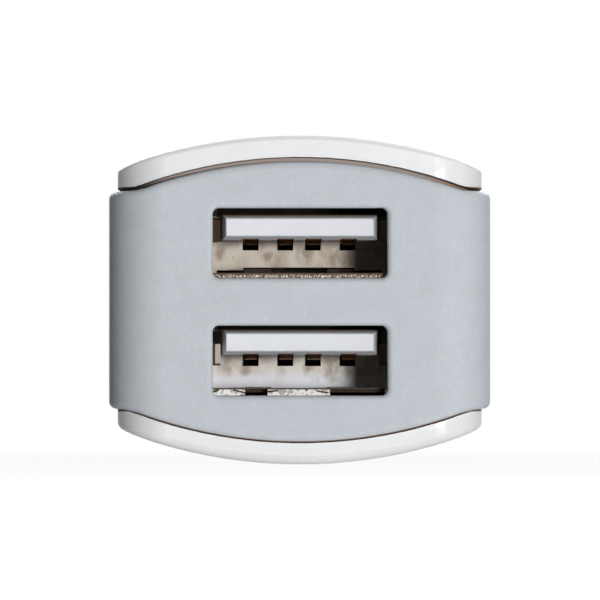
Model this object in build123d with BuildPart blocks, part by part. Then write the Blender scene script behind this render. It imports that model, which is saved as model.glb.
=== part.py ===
from build123d import *

import os
from math import acos, atan2, copysign, cos, degrees, hypot, radians, sin, sqrt, tan

# Twin USB car charger plug, in millimetres. The plug lies along Y. The origin is on the barrel's axis,
# at the shoulder that stops against the socket's rim. The head with the two USB ports is towards -Y,
# the nose with the sprung centre contact is towards +Y, and +Z is up as the ports are read.

# Head, the part that stays outside the socket
HEAD_LENGTH = 20.0  # front face to shoulder
HEAD_HEIGHT = 23.4  # over both shells, at the front
HEAD_DROP = 0.8  # fall of each crown from the front to the shoulder
CROWN_RADIUS = 35.0  # arc of the lower shell and of both seams, seen from the front
UPPER_CROWN_RADIUS = 38.0  # arc of the upper shell
FRAME_WIDTH = 27.2  # over the frame's sides, at the widest
CORNER_RADIUS = 4.0  # frame's upright front corners, in plan
SIDE_DRAFT = 4.0  # degrees by which the sides close in towards the shoulder

# Front frame
FACE_THICKNESS = 1.6
ARM_WALL = 1.5
FRAME_EDGE = 0.5  # rounding of the frame's outer edges
WINDOW_LAP = 0.05  # how far the frame covers each side of a port
WINDOW_HEIGHT = 4.97
WINDOW_PITCH = 8.35
WINDOW_CORNER = 0.45
WINDOW_EDGE = 0.4  # rounding of each window's front edge
WINDOW_FALL = 0.52  # how far the windows sit below the ports

# Shells
SHELL_WALL = 1.52  # at the crown
UPPER_SIDE_WALL = 1.35  # upper shell, at its sides
LOWER_SIDE_WALL = 1.29  # lower shell, at its sides
SHELL_INSET = 0.62  # how far the shells stand in from the frame's sides
SHELL_SETBACK = 0.3  # how far the shells stand back from the frame's face
UPPER_EDGE = 0.3  # rounding of the upper crown's edge
LOWER_EDGE = 0.6  # rounding of the lower crown's edge
REAR_CORNER = 2.0  # shells' upright corners at the shoulder, in plan
SEAM_BLEND = 4.0  # radius between the seam's flat and its arc
UPPER_SEAM = 0.32  # gap between the frame and the upper shell
UPPER_END_SEAM = 0.2  # the same gap along the seam's flat ends
LOWER_SEAM = 0.07  # gap between the frame and the lower shell
LOWER_END_SEAM = 0.05
SHOULDER_WALL = 1.5
LIP_DEPTH = 1.2  # rib of each shell inside the frame, which closes the seam
LIP_THICKNESS = 1.2
LIP_GAP = 0.1
LUG_LENGTH = 4.0  # catch of each shell in the frame's arms
LUG_SETBACK = 3.5  # behind it, to the shoulder wall
LUG_REACH = 1.9
LUG_BITE = 0.6  # how deep the catch stands in the arm's wall
LUG_THICKNESS = 1.0
LUG_GAP = 0.1

# Barrel, the part that goes into the socket
LAND_RADIUS = 10.4
LAND_LENGTH = 8.0
BARREL_RADIUS = 10.1
BARREL_LENGTH = 27.0  # shoulder to the start of the nose cone
BARREL_WALL = 1.3
CONE_LENGTH = 4.0
SPIGOT_RADIUS = 6.2
SPIGOT_LENGTH = 4.2
SPIGOT_WALL = 1.2
STEP_CHAMFER = 0.3
SPLIT_DEPTH = 0.12  # groove along the shells' parting line
SPLIT_HEIGHT = 0.08  # each shell's share of the groove

# Nose collar and centre contact
COLLAR_CLEARANCE = 0.05
COLLAR_SKIRT = 1.15
COLLAR_FACE = 1.6
COLLAR_EDGE = 0.9
GRIP_COUNT = 20
GRIP_RADIUS = 0.35
GRIP_MARGIN = 0.9
PIN_RADIUS = 3.5
PIN_CLEARANCE = 0.08
PIN_REACH = 3.6  # how far it stands out of the collar
PIN_EDGE = 2.4
PIN_FLANGE = 1.2
PIN_FLANGE_GAP = 0.2
PIN_STEM_RADIUS = 2.6
PIN_STEM = 3.0

# Contact spring and its seat
WIRE = 0.6
COIL_RADIUS = 3.6
COIL_TURNS = 6.0
COIL_GAP = 0.05
SEAT_MARGIN = 0.7
SEAT_THICKNESS = 0.5
SEAT_FOOT_LENGTH = 1.6
SEAT_FOOT_WIDTH = 3.0

# Boards
BOARD_THICKNESS = 1.2
BOARD_GAP = 0.3  # main board to the barrel's bore
BOARD_SETBACK = 1.4  # main board's end to the start of the nose cone
WAIST_HALF_WIDTH = 5.0
EAR_LENGTH = 4.3
FRONT_LENGTH = 8.2  # wide stretch of the main board, at its front
PORT_BOARD_SIDE = 1.95  # beyond the can, at each side
PORT_BOARD_RIM = 0.55  # beyond the can, above and below
PORT_BOARD_CORNER = 1.0
HOLE_GAP = 0.12

# Ground springs, one on each side of the barrel
GROUND_THICKNESS = 0.45
GROUND_WIDTH = 4.0
GROUND_REACH = 1.45  # corner of the bow beyond the barrel, before it is rounded
GROUND_BEND = 3.0
GROUND_TIP_GAP = 0.3  # tip's middle line to the barrel's bore
GROUND_TIP_MARGIN = 0.9  # tip to the slot's end
GROUND_BOARD_GAP = 0.4
EYE_WRAP = 270.0  # degrees
POST_RADIUS = 0.7
POST_CLEARANCE = 0.05
POST_FLANGE_RADIUS = 1.15
POST_FLANGE = 0.3
POST_END_GAP = 0.1
POST_STUB = 0.6
POST_EDGE = 1.4  # post to the main board's side
POST_SETBACK = 2.1  # post to the main board's end
SLOT_GAP = 0.35
SLOT_MARGIN = 0.4  # beyond the land's step

# Double USB receptacle
PORT_WIDTH = 12.5
PORT_HEIGHT = 5.12
PORT_PITCH = 8.2
PORT_CENTRE = 0.4  # height of the middle of the two ports
CAN_SHEET = 0.3
CAN_HEM = 1.4  # depth of the doubled sheet at the can's lower front edge
CAN_NOTCHES = ((-3.1, 1.6), (4.1, 3.9))  # middle and width of each notch in that edge
CAN_LEG_WIDTH = 1.2
CAN_LEG_INSET = 1.3  # middle of a leg to the can's top or bottom
LEG_STUB = 0.4  # legs and contacts, behind the port board
LEG_GAP = 0.2  # their ends to the shoulder wall
TONGUE_WIDTH = 11.05
TONGUE_THICKNESS = 1.8
TONGUE_LENGTH = 9.2
TONGUE_RECESS = 0.9  # tongue's tip behind the can's front edge
TONGUE_CLEARANCE = 2.36  # under the tongue, down to the port's floor
TONGUE_LEAD = 0.9  # length over which the tongue's tip tapers
TONGUE_TAPER = 0.28  # how far each side of the tip comes in
TONGUE_EDGE = 0.12  # rounding of the tip
RECESS_WEB = 0.3  # left at each end of the openings above the tongues
RELIEFS = ((11.9, 0.3), (8.1, 0.5))  # width and height of the openings under the upper port's wall
CONTACT_PLACES = (-3.5, -1.0, 1.0, 3.5)
CONTACT_WIDTH = 0.9
CONTACT_SHEET = 0.25
CONTACT_SINK = 0.2  # middle of the straight run, above the tongue's underside
CONTACT_BUMP = 0.32  # how far each contact's bump stands below the tongue
CONTACT_BUMP_PLACE = 3.0  # behind the tongue's tip
CONTACT_TIP_PLACE = 1.2
CONTACT_TIP_RISE = 0.15
CONTACT_BEND = 1.0
KEYWAY_WIDTH = 1.15
UPPER_KEYWAY = 0.62  # height of the upper port's keyways, below the tongue
LOWER_KEYWAY = 0.78
GROOVE_DEPTH = 0.5  # of the contacts' grooves, above the tongue's underside
GROOVE_END = 0.6  # behind the tongue's tip
FINGER_WIDTH = 2.0
FINGER_PLACE = 3.0
FINGER_ROOT = 3.2  # behind the can's front edge
FINGER_LENGTH = 5.0
FINGER_RISE = 0.35
LOWEST_FINGER_RISE = 0.08  # of the fingers in the lower port's floor
FINGER_BEND = 0.7  # share of the finger's length, up to its crest
FINGER_GAP = 0.3
SIDE_FINGER_ROOT = 0.6
SIDE_FINGER_WIDTH = 1.54
SIDE_FINGER_RISE = 0.6
SIDE_FINGER_BEND = 0.22
UPPER_SIDE_FINGER = 2.23  # underside of the upper port's side fingers, above its floor
LOWER_SIDE_FINGER = 1.62

# Parts on the main board, in a row from its front, with the input capacitor at its end
ROW_START = 0.6
ROW_GAP = 0.5
CHIP_WIDTH = 3.9
CHIP_LENGTH = 4.9
CHIP_HEIGHT = 1.45
CHIP_STANDOFF = 0.1
CHIP_SPAN = 6.0
CHIP_LEADS = 4  # on each side
CHIP_PITCH = 1.27
CHIP_LEAD_WIDTH = 0.4
CHIP_LEAD_SHEET = 0.2
DIODE_WIDTH = 4.3
DIODE_LENGTH = 2.6
DIODE_HEIGHT = 2.1
DIODE_TAB_WIDTH = 1.4
DIODE_TAB_REACH = 0.45
DIODE_TAB_SHEET = 0.25
CORE_RADIUS = 3.5
CORE_HEIGHT = 5.6
CORE_FLANGE = 1.0
CORE_POST_RADIUS = 1.6
WINDING_RADIUS = 3.2
WINDING_GAP = 0.02
CAPACITOR_RADIUS = 3.15
CAPACITOR_HEIGHT = 8.4
CAPACITOR_EDGE = 0.5
CRIMP_RADIUS = 0.4
CRIMP_HEIGHT = 1.5
OUTPUT_RADIUS = 2.4
OUTPUT_LENGTH = 8.0
OUTPUT_GAP = 0.1
LEAD_WIDTH = 0.5
LEAD_PITCH = 2.5
LEAD_STUB = 0.5  # below the main board
LEAD_SINK = 0.2  # below its top, where another part stands over the lead
LEAD_REACH = 0.9
FUSE_WIDTH = 3.2
FUSE_LENGTH = 1.6
FUSE_HEIGHT = 0.7
RESISTOR_SIZE = (0.8, 1.6, 0.45)
CHIP_CAPACITOR_SIZE = (1.25, 2.0, 0.85)
SMALL_COUNT = 3
SMALL_PITCH = 2.3
SMALL_EDGE = 2.1  # middle of a small part to the main board's side
WEB_THICKNESS = 1.2
WEB_SETBACK = 0.4  # front web to the waist
RIB_WIDTH = 1.4
RIB_THICKNESS = 1.0
RIB_SETBACK = 0.3  # rib to the main board's end

# Places that follow from the sizes above
FRONT = Plane.XZ.offset(HEAD_LENGTH)
DRAFT = Vector(0, HEAD_LENGTH, -HEAD_DROP)
FACE_BACK = -HEAD_LENGTH + FACE_THICKNESS
CROWN_CENTRE = HEAD_HEIGHT / 2 - CROWN_RADIUS
UPPER_CROWN_CENTRE = HEAD_HEIGHT / 2 - UPPER_CROWN_RADIUS
SHELL_HALF_WIDTH = FRAME_WIDTH / 2 - SHELL_INSET
UPPER_FLAT = UPPER_CROWN_CENTRE + sqrt(UPPER_CROWN_RADIUS**2 - SHELL_HALF_WIDTH**2) - UPPER_SIDE_WALL
LOWER_FLAT = CROWN_CENTRE + sqrt(CROWN_RADIUS**2 - SHELL_HALF_WIDTH**2) - LOWER_SIDE_WALL
LUG_MIDDLE = -SHOULDER_WALL - LUG_SETBACK - LUG_LENGTH / 2

BORE_RADIUS = BARREL_RADIUS - BARREL_WALL
CONE_END = BARREL_LENGTH + CONE_LENGTH
SPIGOT_BORE = SPIGOT_RADIUS - SPIGOT_WALL
SPIGOT_END = CONE_END + SPIGOT_LENGTH
COLLAR_BORE = SPIGOT_RADIUS + COLLAR_CLEARANCE
COLLAR_RADIUS = COLLAR_BORE + COLLAR_SKIRT
COLLAR_END = SPIGOT_END + COLLAR_FACE

PORT_BOARD_BACK = -SHOULDER_WALL - LEG_GAP - LEG_STUB
CAN_FRONT = FACE_BACK
CAN_BACK = PORT_BOARD_BACK - BOARD_THICKNESS
TONGUE_TIP = CAN_FRONT + TONGUE_RECESS
BLOCK_FRONT = TONGUE_TIP + TONGUE_LENGTH
UPPER_FLOOR = PORT_CENTRE + PORT_PITCH / 2 - PORT_HEIGHT / 2
LOWER_FLOOR = PORT_CENTRE - PORT_PITCH / 2 - PORT_HEIGHT / 2
STACK_HEIGHT = PORT_PITCH + PORT_HEIGHT
CAN_LEG_SPACING = STACK_HEIGHT - 2 * CAN_LEG_INSET
CAN_LEG_PLACES = [(side * (PORT_WIDTH + CAN_SHEET) / 2, PORT_CENTRE) for side in (1, -1)]

BOARD_TOP = -GROUND_WIDTH / 2 - GROUND_BOARD_GAP
BOARD_BOTTOM = BOARD_TOP - BOARD_THICKNESS
BOARD_HALF_WIDTH = sqrt(BORE_RADIUS**2 - BOARD_BOTTOM**2) - BOARD_GAP
BOARD_START = PORT_BOARD_BACK
BOARD_END = BARREL_LENGTH - BOARD_SETBACK
SEAT_FACE = BOARD_END + SEAT_THICKNESS
SMALL_COLUMN = BOARD_HALF_WIDTH - SMALL_EDGE
CHIP_PLACE = BOARD_START + ROW_START + CHIP_LENGTH / 2
DIODE_PLACE = CHIP_PLACE + CHIP_LENGTH / 2 + ROW_GAP + DIODE_LENGTH / 2
CORE_PLACE = DIODE_PLACE + DIODE_LENGTH / 2 + ROW_GAP + CORE_RADIUS
CAPACITOR_PLACE = BOARD_END - SEAT_FOOT_LENGTH - ROW_GAP - CAPACITOR_RADIUS
WAIST_START = BOARD_START + FRONT_LENGTH
WAIST_END = BOARD_END - EAR_LENGTH
WEB_FRONT = WAIST_START - WEB_SETBACK - WEB_THICKNESS
OUTPUT_START = WEB_FRONT + WEB_THICKNESS + ROW_GAP
WEB_REAR = OUTPUT_START + OUTPUT_LENGTH + LEAD_REACH + LEAD_WIDTH + ROW_GAP

POST = (BOARD_HALF_WIDTH - POST_EDGE, BOARD_END - POST_SETBACK)
EYE_RADIUS = POST_RADIUS + POST_CLEARANCE + GROUND_THICKNESS / 2
SLOT_START = LAND_LENGTH + STEP_CHAMFER + SLOT_MARGIN
SLOT_END = POST[1]
BOW = (BARREL_RADIUS + GROUND_REACH, (SLOT_START + SLOT_END) / 2)
TIP = (BORE_RADIUS - GROUND_TIP_GAP, SLOT_START + GROUND_TIP_MARGIN)
RIB_MIDDLE = (SEAT_FOOT_WIDTH / 2 + POST[0] - EYE_RADIUS) / 2
OVERRUN = 2.0  # how far trimming shapes run past what they trim


def across(y):
    """Plane across the plug at depth y, seen from the front; positive amounts go towards -Y."""
    return Plane.XZ.offset(-y)


def drop_at(y):
    """Fall of the crown at depth y."""
    return HEAD_DROP * (y + HEAD_LENGTH) / HEAD_LENGTH


def side_at(inset, setback, y):
    """Half width at depth y of the head's plan outline, drawn in by inset and back by setback."""
    lean = radians(SIDE_DRAFT)
    corner = CORNER_RADIUS - inset
    start = -HEAD_LENGTH + setback + corner + corner * sin(lean)
    return FRAME_WIDTH / 2 - inset - corner + corner * cos(lean) - (y - start) * tan(lean)


def plan_sketch(inset, setback, rear):
    """Outline of the head seen from above, drawn in by inset and back by setback."""
    corner = CORNER_RADIUS - inset
    front = -HEAD_LENGTH + setback
    with BuildSketch() as plan:
        with BuildLine():
            middle = (FRAME_WIDTH / 2 - CORNER_RADIUS, front + corner)
            arc = CenterArc(middle, corner, -90, 90 + SIDE_DRAFT)
            Polyline(arc @ 1, (side_at(inset, setback, rear), rear), (0, rear))
            Line(arc @ 0, (0, front))
            mirror(about=Plane.YZ)
        make_face()
    return plan.sketch


def seam_sketch(fall, flat):
    """Region under a shell's inner arc, lowered by fall, that blends into flat ends at that height."""
    arc_radius = CROWN_RADIUS - SHELL_WALL
    foot = sqrt(arc_radius**2 - (flat + fall - CROWN_CENTRE) ** 2)
    reach = FRAME_WIDTH / 2 + OVERRUN
    with BuildSketch() as seam:
        with BuildLine():
            ThreePointArc((-foot, flat), (0, CROWN_CENTRE + arc_radius - fall), (foot, flat))
            Polyline((foot, flat), (reach, flat), (reach, -OVERRUN), (0, -OVERRUN))
            Polyline((-foot, flat), (-reach, flat), (-reach, -OVERRUN), (0, -OVERRUN))
        make_face()
        feet = seam.vertices().group_by(Axis.Y)[-1].sort_by(Axis.X)[1:-1]
        fillet(feet, SEAM_BLEND)
    return seam.sketch


def crown_sketch(radius):
    """Region under a shell's outer arc of that radius."""
    reach = FRAME_WIDTH / 2 + OVERRUN
    side = HEAD_HEIGHT / 2 - radius + sqrt(radius**2 - reach**2)
    with BuildSketch() as crown:
        with BuildLine():
            ThreePointArc((-reach, side), (0, HEAD_HEIGHT / 2), (reach, side))
            Polyline((reach, side), (reach, -OVERRUN), (-reach, -OVERRUN), (-reach, side))
        make_face()
    return crown.sketch


def lug_pair(flat, gap):
    """Catches under a shell's flat ends, grown by gap where they stand in the arms' pockets."""
    front = LUG_MIDDLE - LUG_LENGTH / 2
    face = side_at(ARM_WALL, FACE_THICKNESS, front) + LUG_BITE + gap
    top = flat - drop_at(front)
    with BuildPart() as lugs:
        with Locations((face, LUG_MIDDLE, top)):
            Box(
                LUG_THICKNESS + gap,
                LUG_LENGTH + 2 * gap,
                LUG_REACH + gap,
                align=(Align.MAX, Align.CENTER, Align.MAX),
            )
        mirror(about=Plane.YZ)
    return lugs.part


def shell_lip(flat):
    """Rib under a shell with that flat, which runs round inside the frame's face and arms."""
    inner = LIP_GAP + LIP_THICKNESS
    with BuildPart() as lip:
        with BuildSketch(FRONT):
            add(seam_sketch(0, flat))
            add(seam_sketch(LIP_DEPTH, flat - LIP_DEPTH), mode=Mode.SUBTRACT)
        extrude(amount=DRAFT.length, dir=DRAFT)
        with BuildSketch():
            add(plan_sketch(ARM_WALL + LIP_GAP, FACE_THICKNESS + LIP_GAP, -SHOULDER_WALL))
            add(plan_sketch(ARM_WALL + inner, FACE_THICKNESS + inner, -SHOULDER_WALL), mode=Mode.SUBTRACT)
        extrude(amount=HEAD_HEIGHT, mode=Mode.INTERSECT)
    return lip.part


def shell_blank(radius, flat, edge):
    """Half of the white body: a crown with that arc, flat and edge, the shoulder, and half of the barrel."""
    barrel = [
        (LAND_RADIUS, LAND_LENGTH),
        (BARREL_RADIUS, LAND_LENGTH + STEP_CHAMFER),
        (BARREL_RADIUS, BARREL_LENGTH),
        (COLLAR_RADIUS, CONE_END),
    ]
    with BuildPart() as blank:
        with BuildSketch(FRONT):
            add(crown_sketch(radius))
        extrude(amount=DRAFT.length, dir=DRAFT)
        with BuildSketch(FRONT):
            add(seam_sketch(0, flat))
        extrude(amount=DRAFT.length * (1 - SHOULDER_WALL / HEAD_LENGTH), dir=DRAFT, mode=Mode.SUBTRACT)
        with BuildSketch() as plan:
            add(plan_sketch(SHELL_INSET, SHELL_SETBACK, 0))
            rear = plan.vertices().group_by(Axis.Y)[-1].sort_by(Axis.X)
            fillet([rear[0], rear[-1]], REAR_CORNER)
        extrude(amount=HEAD_HEIGHT, mode=Mode.INTERSECT)
        crown = blank.faces().sort_by(Axis.Z)[-1]
        fillet(crown.edges(), edge)
        add(shell_lip(flat))
        add(lug_pair(flat, 0))

        with BuildSketch():
            with BuildLine():
                Polyline(
                    (0, -SHOULDER_WALL / 2),
                    (LAND_RADIUS, -SHOULDER_WALL / 2),
                    *barrel,
                    (SPIGOT_RADIUS, CONE_END),
                    (SPIGOT_RADIUS, SPIGOT_END),
                    (0, SPIGOT_END),
                    close=True,
                )
            make_face()
        revolve(axis=Axis.Y, revolution_arc=-180)
        with BuildSketch():
            with BuildLine():
                Polyline(
                    (0, -SHOULDER_WALL),
                    (BORE_RADIUS, -SHOULDER_WALL),
                    (BORE_RADIUS, BARREL_LENGTH),
                    (SPIGOT_BORE, CONE_END),
                    (SPIGOT_BORE, SPIGOT_END),
                    (0, SPIGOT_END),
                    close=True,
                )
            make_face()
        revolve(axis=Axis.Y, mode=Mode.SUBTRACT)
        with Locations((0, (SLOT_START + SLOT_END) / 2, 0)):
            Box(
                2 * (LAND_RADIUS + OVERRUN),
                SLOT_END - SLOT_START,
                GROUND_WIDTH + 2 * SLOT_GAP,
                mode=Mode.SUBTRACT,
            )

        with BuildSketch():
            add(plan.sketch)
            offset(plan.sketch, amount=-SPLIT_DEPTH, mode=Mode.SUBTRACT)
            Rectangle(2 * LAND_RADIUS, 2 * HEAD_LENGTH, mode=Mode.SUBTRACT)
        extrude(amount=SPLIT_HEIGHT, mode=Mode.SUBTRACT)
        with BuildSketch():
            with BuildLine():
                outside = [(LAND_RADIUS, 0), *barrel]
                inside = [(x - SPLIT_DEPTH, y) for x, y in reversed(outside)]
                Polyline(*outside, *inside, close=True)
            make_face()
            mirror(about=Plane.YZ)
        extrude(amount=SPLIT_HEIGHT, mode=Mode.SUBTRACT)
    return blank.part


def finger_sketch(root, wall, rise, share):
    """Retention finger that springs from a port's wall, drawn with the port's depth along its own X."""
    bend = root + FINGER_LENGTH * share
    end = root + FINGER_LENGTH
    sheet = -copysign(CAN_SHEET, rise)
    with BuildSketch() as finger:
        with BuildLine():
            Polyline(
                (root, wall),
                (bend, wall + rise),
                (end, wall),
                (end, wall + sheet),
                (bend, wall + rise + sheet),
                (root, wall + sheet),
                close=True,
            )
        make_face()
    return finger.sketch


def finger_windows(wall):
    """Cut-outs around the two fingers of a port's wall."""
    start = CAN_FRONT + FINGER_ROOT
    with BuildPart() as windows:
        with Locations((-FINGER_PLACE, start, wall), (FINGER_PLACE, start, wall)):
            Box(
                FINGER_WIDTH + 2 * FINGER_GAP,
                FINGER_LENGTH + FINGER_GAP,
                2 * CAN_SHEET,
                align=(Align.CENTER, Align.MIN, Align.CENTER),
            )
    return windows.part


def finger_pair(wall, rise):
    """The two retention fingers of a port's floor or roof."""
    with BuildPart() as fingers:
        with BuildSketch(Plane.YZ.offset(FINGER_PLACE)):
            add(finger_sketch(CAN_FRONT + FINGER_ROOT, wall, rise, FINGER_BEND))
        extrude(amount=FINGER_WIDTH / 2, both=True)
        mirror(about=Plane.YZ)
    return fingers.part


def side_windows(middle):
    """Cut-outs around the fingers in a port's two sides, at that height."""
    with BuildPart() as windows:
        with Locations(*[(side * PORT_WIDTH / 2, CAN_FRONT + SIDE_FINGER_ROOT, middle) for side in (1, -1)]):
            Box(
                2 * CAN_SHEET,
                FINGER_LENGTH + FINGER_GAP,
                SIDE_FINGER_WIDTH + 2 * FINGER_GAP,
                align=(Align.CENTER, Align.MIN, Align.CENTER),
            )
    return windows.part


def side_fingers(middle):
    """The fingers in a port's two sides, at that height."""
    with BuildPart() as fingers:
        with BuildSketch(Plane(origin=(0, 0, middle), x_dir=(0, 1, 0), z_dir=(0, 0, -1))):
            root = CAN_FRONT + SIDE_FINGER_ROOT
            add(finger_sketch(root, PORT_WIDTH / 2, -SIDE_FINGER_RISE, SIDE_FINGER_BEND))
        extrude(amount=SIDE_FINGER_WIDTH / 2, both=True)
        mirror(about=Plane.YZ)
    return fingers.part


os.makedirs("parts", exist_ok=True)

# Front frame: the face with its two windows, and an arm along each side of the head
with BuildPart() as frame_core:
    with BuildSketch(FRONT):
        add(seam_sketch(UPPER_SEAM, UPPER_FLAT - UPPER_END_SEAM))
    extrude(amount=DRAFT.length, dir=DRAFT)
    with BuildSketch(FRONT):
        mirror(seam_sketch(LOWER_SEAM, LOWER_FLAT - LOWER_END_SEAM), about=Plane.XZ)
    extrude(amount=DRAFT.length, dir=Vector(DRAFT.X, DRAFT.Y, -DRAFT.Z))

with BuildPart() as front_frame:
    with BuildSketch():
        add(plan_sketch(0, 0, -SHOULDER_WALL))
        add(plan_sketch(ARM_WALL, FACE_THICKNESS, -SHOULDER_WALL), mode=Mode.SUBTRACT)
    extrude(amount=HEAD_HEIGHT, both=True)
    add(frame_core.part, mode=Mode.INTERSECT)
    face = front_frame.faces().sort_by(Axis.Y)[0]
    fillet(face.edges().filter_by(GeomType.CIRCLE), FRAME_EDGE)
    with BuildSketch(FRONT):
        with Locations((0, PORT_CENTRE - WINDOW_FALL)):
            with GridLocations(0, WINDOW_PITCH, 1, 2):
                RectangleRounded(PORT_WIDTH - 2 * WINDOW_LAP, WINDOW_HEIGHT, WINDOW_CORNER)
    extrude(amount=-FACE_THICKNESS, mode=Mode.SUBTRACT)
    face = front_frame.faces().sort_by(Axis.Y)[0]
    fillet([edge for wire in face.inner_wires() for edge in wire.edges()], WINDOW_EDGE)
    add(lug_pair(UPPER_FLAT, LUG_GAP), mode=Mode.SUBTRACT)
    mirror(lug_pair(LOWER_FLAT, LUG_GAP), about=Plane.XY, mode=Mode.SUBTRACT)
front_frame.part.label = "front_frame"
export_step(front_frame.part, "parts/front_frame.step")

# Upper shell, with two ribs that hold the main board down
with BuildPart() as upper_shell:
    add(shell_blank(UPPER_CROWN_RADIUS, UPPER_FLAT, UPPER_EDGE))
    rib_top = sqrt((BORE_RADIUS + BARREL_WALL / 2) ** 2 - (RIB_MIDDLE + RIB_WIDTH / 2) ** 2)
    with Locations(*[(side * RIB_MIDDLE, BOARD_END - RIB_SETBACK, BOARD_TOP) for side in (1, -1)]):
        Box(RIB_WIDTH, RIB_THICKNESS, rib_top - BOARD_TOP, align=(Align.CENTER, Align.MAX, Align.MIN))
upper_shell.part.label = "upper_shell"
export_step(upper_shell.part, "parts/upper_shell.step")

# Lower shell, with two webs that the main board lies on
with BuildPart() as lower_shell:
    mirror(shell_blank(CROWN_RADIUS, LOWER_FLAT, LOWER_EDGE), about=Plane.XY)
    for web in (WEB_FRONT, WEB_REAR):
        with BuildSketch(across(web)):
            Circle(BORE_RADIUS + BARREL_WALL / 2)
            with Locations((0, BOARD_BOTTOM)):
                Rectangle(
                    2 * BARREL_RADIUS,
                    BARREL_RADIUS,
                    align=(Align.CENTER, Align.MAX),
                    mode=Mode.INTERSECT,
                )
        extrude(amount=-WEB_THICKNESS)
lower_shell.part.label = "lower_shell"
export_step(lower_shell.part, "parts/lower_shell.step")

# Nose collar, pushed over the spigot, with a grooved grip
with BuildPart() as nose_collar:
    with BuildSketch():
        with BuildLine():
            Polyline(
                (COLLAR_BORE, CONE_END),
                (COLLAR_RADIUS, CONE_END),
                (COLLAR_RADIUS, COLLAR_END),
                (PIN_RADIUS + PIN_CLEARANCE, COLLAR_END),
                (PIN_RADIUS + PIN_CLEARANCE, SPIGOT_END),
                (COLLAR_BORE, SPIGOT_END),
                close=True,
            )
        make_face()
    revolve(axis=Axis.Y)
    fillet(nose_collar.edges().group_by(Axis.Y)[-1].sort_by(SortBy.RADIUS)[-1], COLLAR_EDGE)
    with BuildSketch(across(CONE_END + GRIP_MARGIN)):
        with PolarLocations(COLLAR_RADIUS, GRIP_COUNT):
            Circle(GRIP_RADIUS)
    extrude(amount=-(COLLAR_END - COLLAR_EDGE - GRIP_MARGIN - CONE_END - GRIP_MARGIN), mode=Mode.SUBTRACT)
nose_collar.part.label = "nose_collar"
export_step(nose_collar.part, "parts/nose_collar.step")

# Centre contact: a turned pin with a flange that the collar keeps in, and a stem inside the spring
with BuildPart() as centre_contact:
    with BuildSketch():
        with BuildLine():
            Polyline(
                (0, SPIGOT_END - PIN_FLANGE - PIN_STEM),
                (PIN_STEM_RADIUS, SPIGOT_END - PIN_FLANGE - PIN_STEM),
                (PIN_STEM_RADIUS, SPIGOT_END - PIN_FLANGE),
                (SPIGOT_BORE - PIN_FLANGE_GAP, SPIGOT_END - PIN_FLANGE),
                (SPIGOT_BORE - PIN_FLANGE_GAP, SPIGOT_END),
                (PIN_RADIUS, SPIGOT_END),
                (PIN_RADIUS, COLLAR_END + PIN_REACH),
                (0, COLLAR_END + PIN_REACH),
                close=True,
            )
        make_face()
    revolve(axis=Axis.Y)
    fillet(centre_contact.edges().group_by(Axis.Y)[-1], PIN_EDGE)
centre_contact.part.label = "centre_contact"
export_step(centre_contact.part, "parts/centre_contact.step")

# Contact spring: a coil between its seat and the centre contact's flange
with BuildPart() as contact_spring:
    coil_start = SEAT_FACE + WIRE / 2 + COIL_GAP
    coil_height = SPIGOT_END - PIN_FLANGE - SEAT_FACE - WIRE - 2 * COIL_GAP
    with BuildLine() as coil:
        Helix(
            pitch=coil_height / COIL_TURNS,
            height=coil_height,
            radius=COIL_RADIUS,
            center=(0, coil_start, 0),
            direction=(0, 1, 0),
        )
    with BuildSketch(Plane(origin=coil.line @ 0, z_dir=coil.line % 0)):
        Circle(WIRE / 2)
    sweep(is_frenet=True)
contact_spring.part.label = "contact_spring"
export_step(contact_spring.part, "parts/contact_spring.step")

# Spring seat: a sheet disc at the main board's end, with a foot on the board
with BuildPart() as spring_seat:
    with BuildSketch(across(BOARD_END)):
        Circle(COIL_RADIUS + WIRE / 2 + SEAT_MARGIN)
    extrude(amount=-SEAT_THICKNESS)
    with Locations((0, BOARD_END, BOARD_TOP)):
        Box(
            SEAT_FOOT_WIDTH,
            SEAT_FOOT_LENGTH,
            SEAT_THICKNESS,
            align=(Align.CENTER, Align.MAX, Align.MIN),
        )
spring_seat.part.label = "spring_seat"
export_step(spring_seat.part, "parts/spring_seat.step")

# Main board, narrow between the ground springs, with holes for the posts and the leads
with BuildPart() as main_board:
    with BuildSketch(Plane.XY.offset(BOARD_BOTTOM)):
        with BuildLine():
            Polyline(
                (0, BOARD_START),
                (BOARD_HALF_WIDTH, BOARD_START),
                (BOARD_HALF_WIDTH, WAIST_START),
                (WAIST_HALF_WIDTH, WAIST_START),
                (WAIST_HALF_WIDTH, WAIST_END),
                (BOARD_HALF_WIDTH, WAIST_END),
                (BOARD_HALF_WIDTH, BOARD_END),
                (0, BOARD_END),
            )
            mirror(about=Plane.YZ)
        make_face()
        with Locations((-POST[0], POST[1]), POST):
            Circle(POST_RADIUS + POST_CLEARANCE, mode=Mode.SUBTRACT)
        for lead in (CAPACITOR_PLACE, OUTPUT_START + OUTPUT_LENGTH + LEAD_REACH):
            with Locations((-LEAD_PITCH / 2, lead), (LEAD_PITCH / 2, lead)):
                Rectangle(LEAD_WIDTH + 2 * HOLE_GAP, LEAD_WIDTH + 2 * HOLE_GAP, mode=Mode.SUBTRACT)
    extrude(amount=BOARD_THICKNESS)
main_board.part.label = "main_board"
export_step(main_board.part, "parts/main_board.step")

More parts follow.
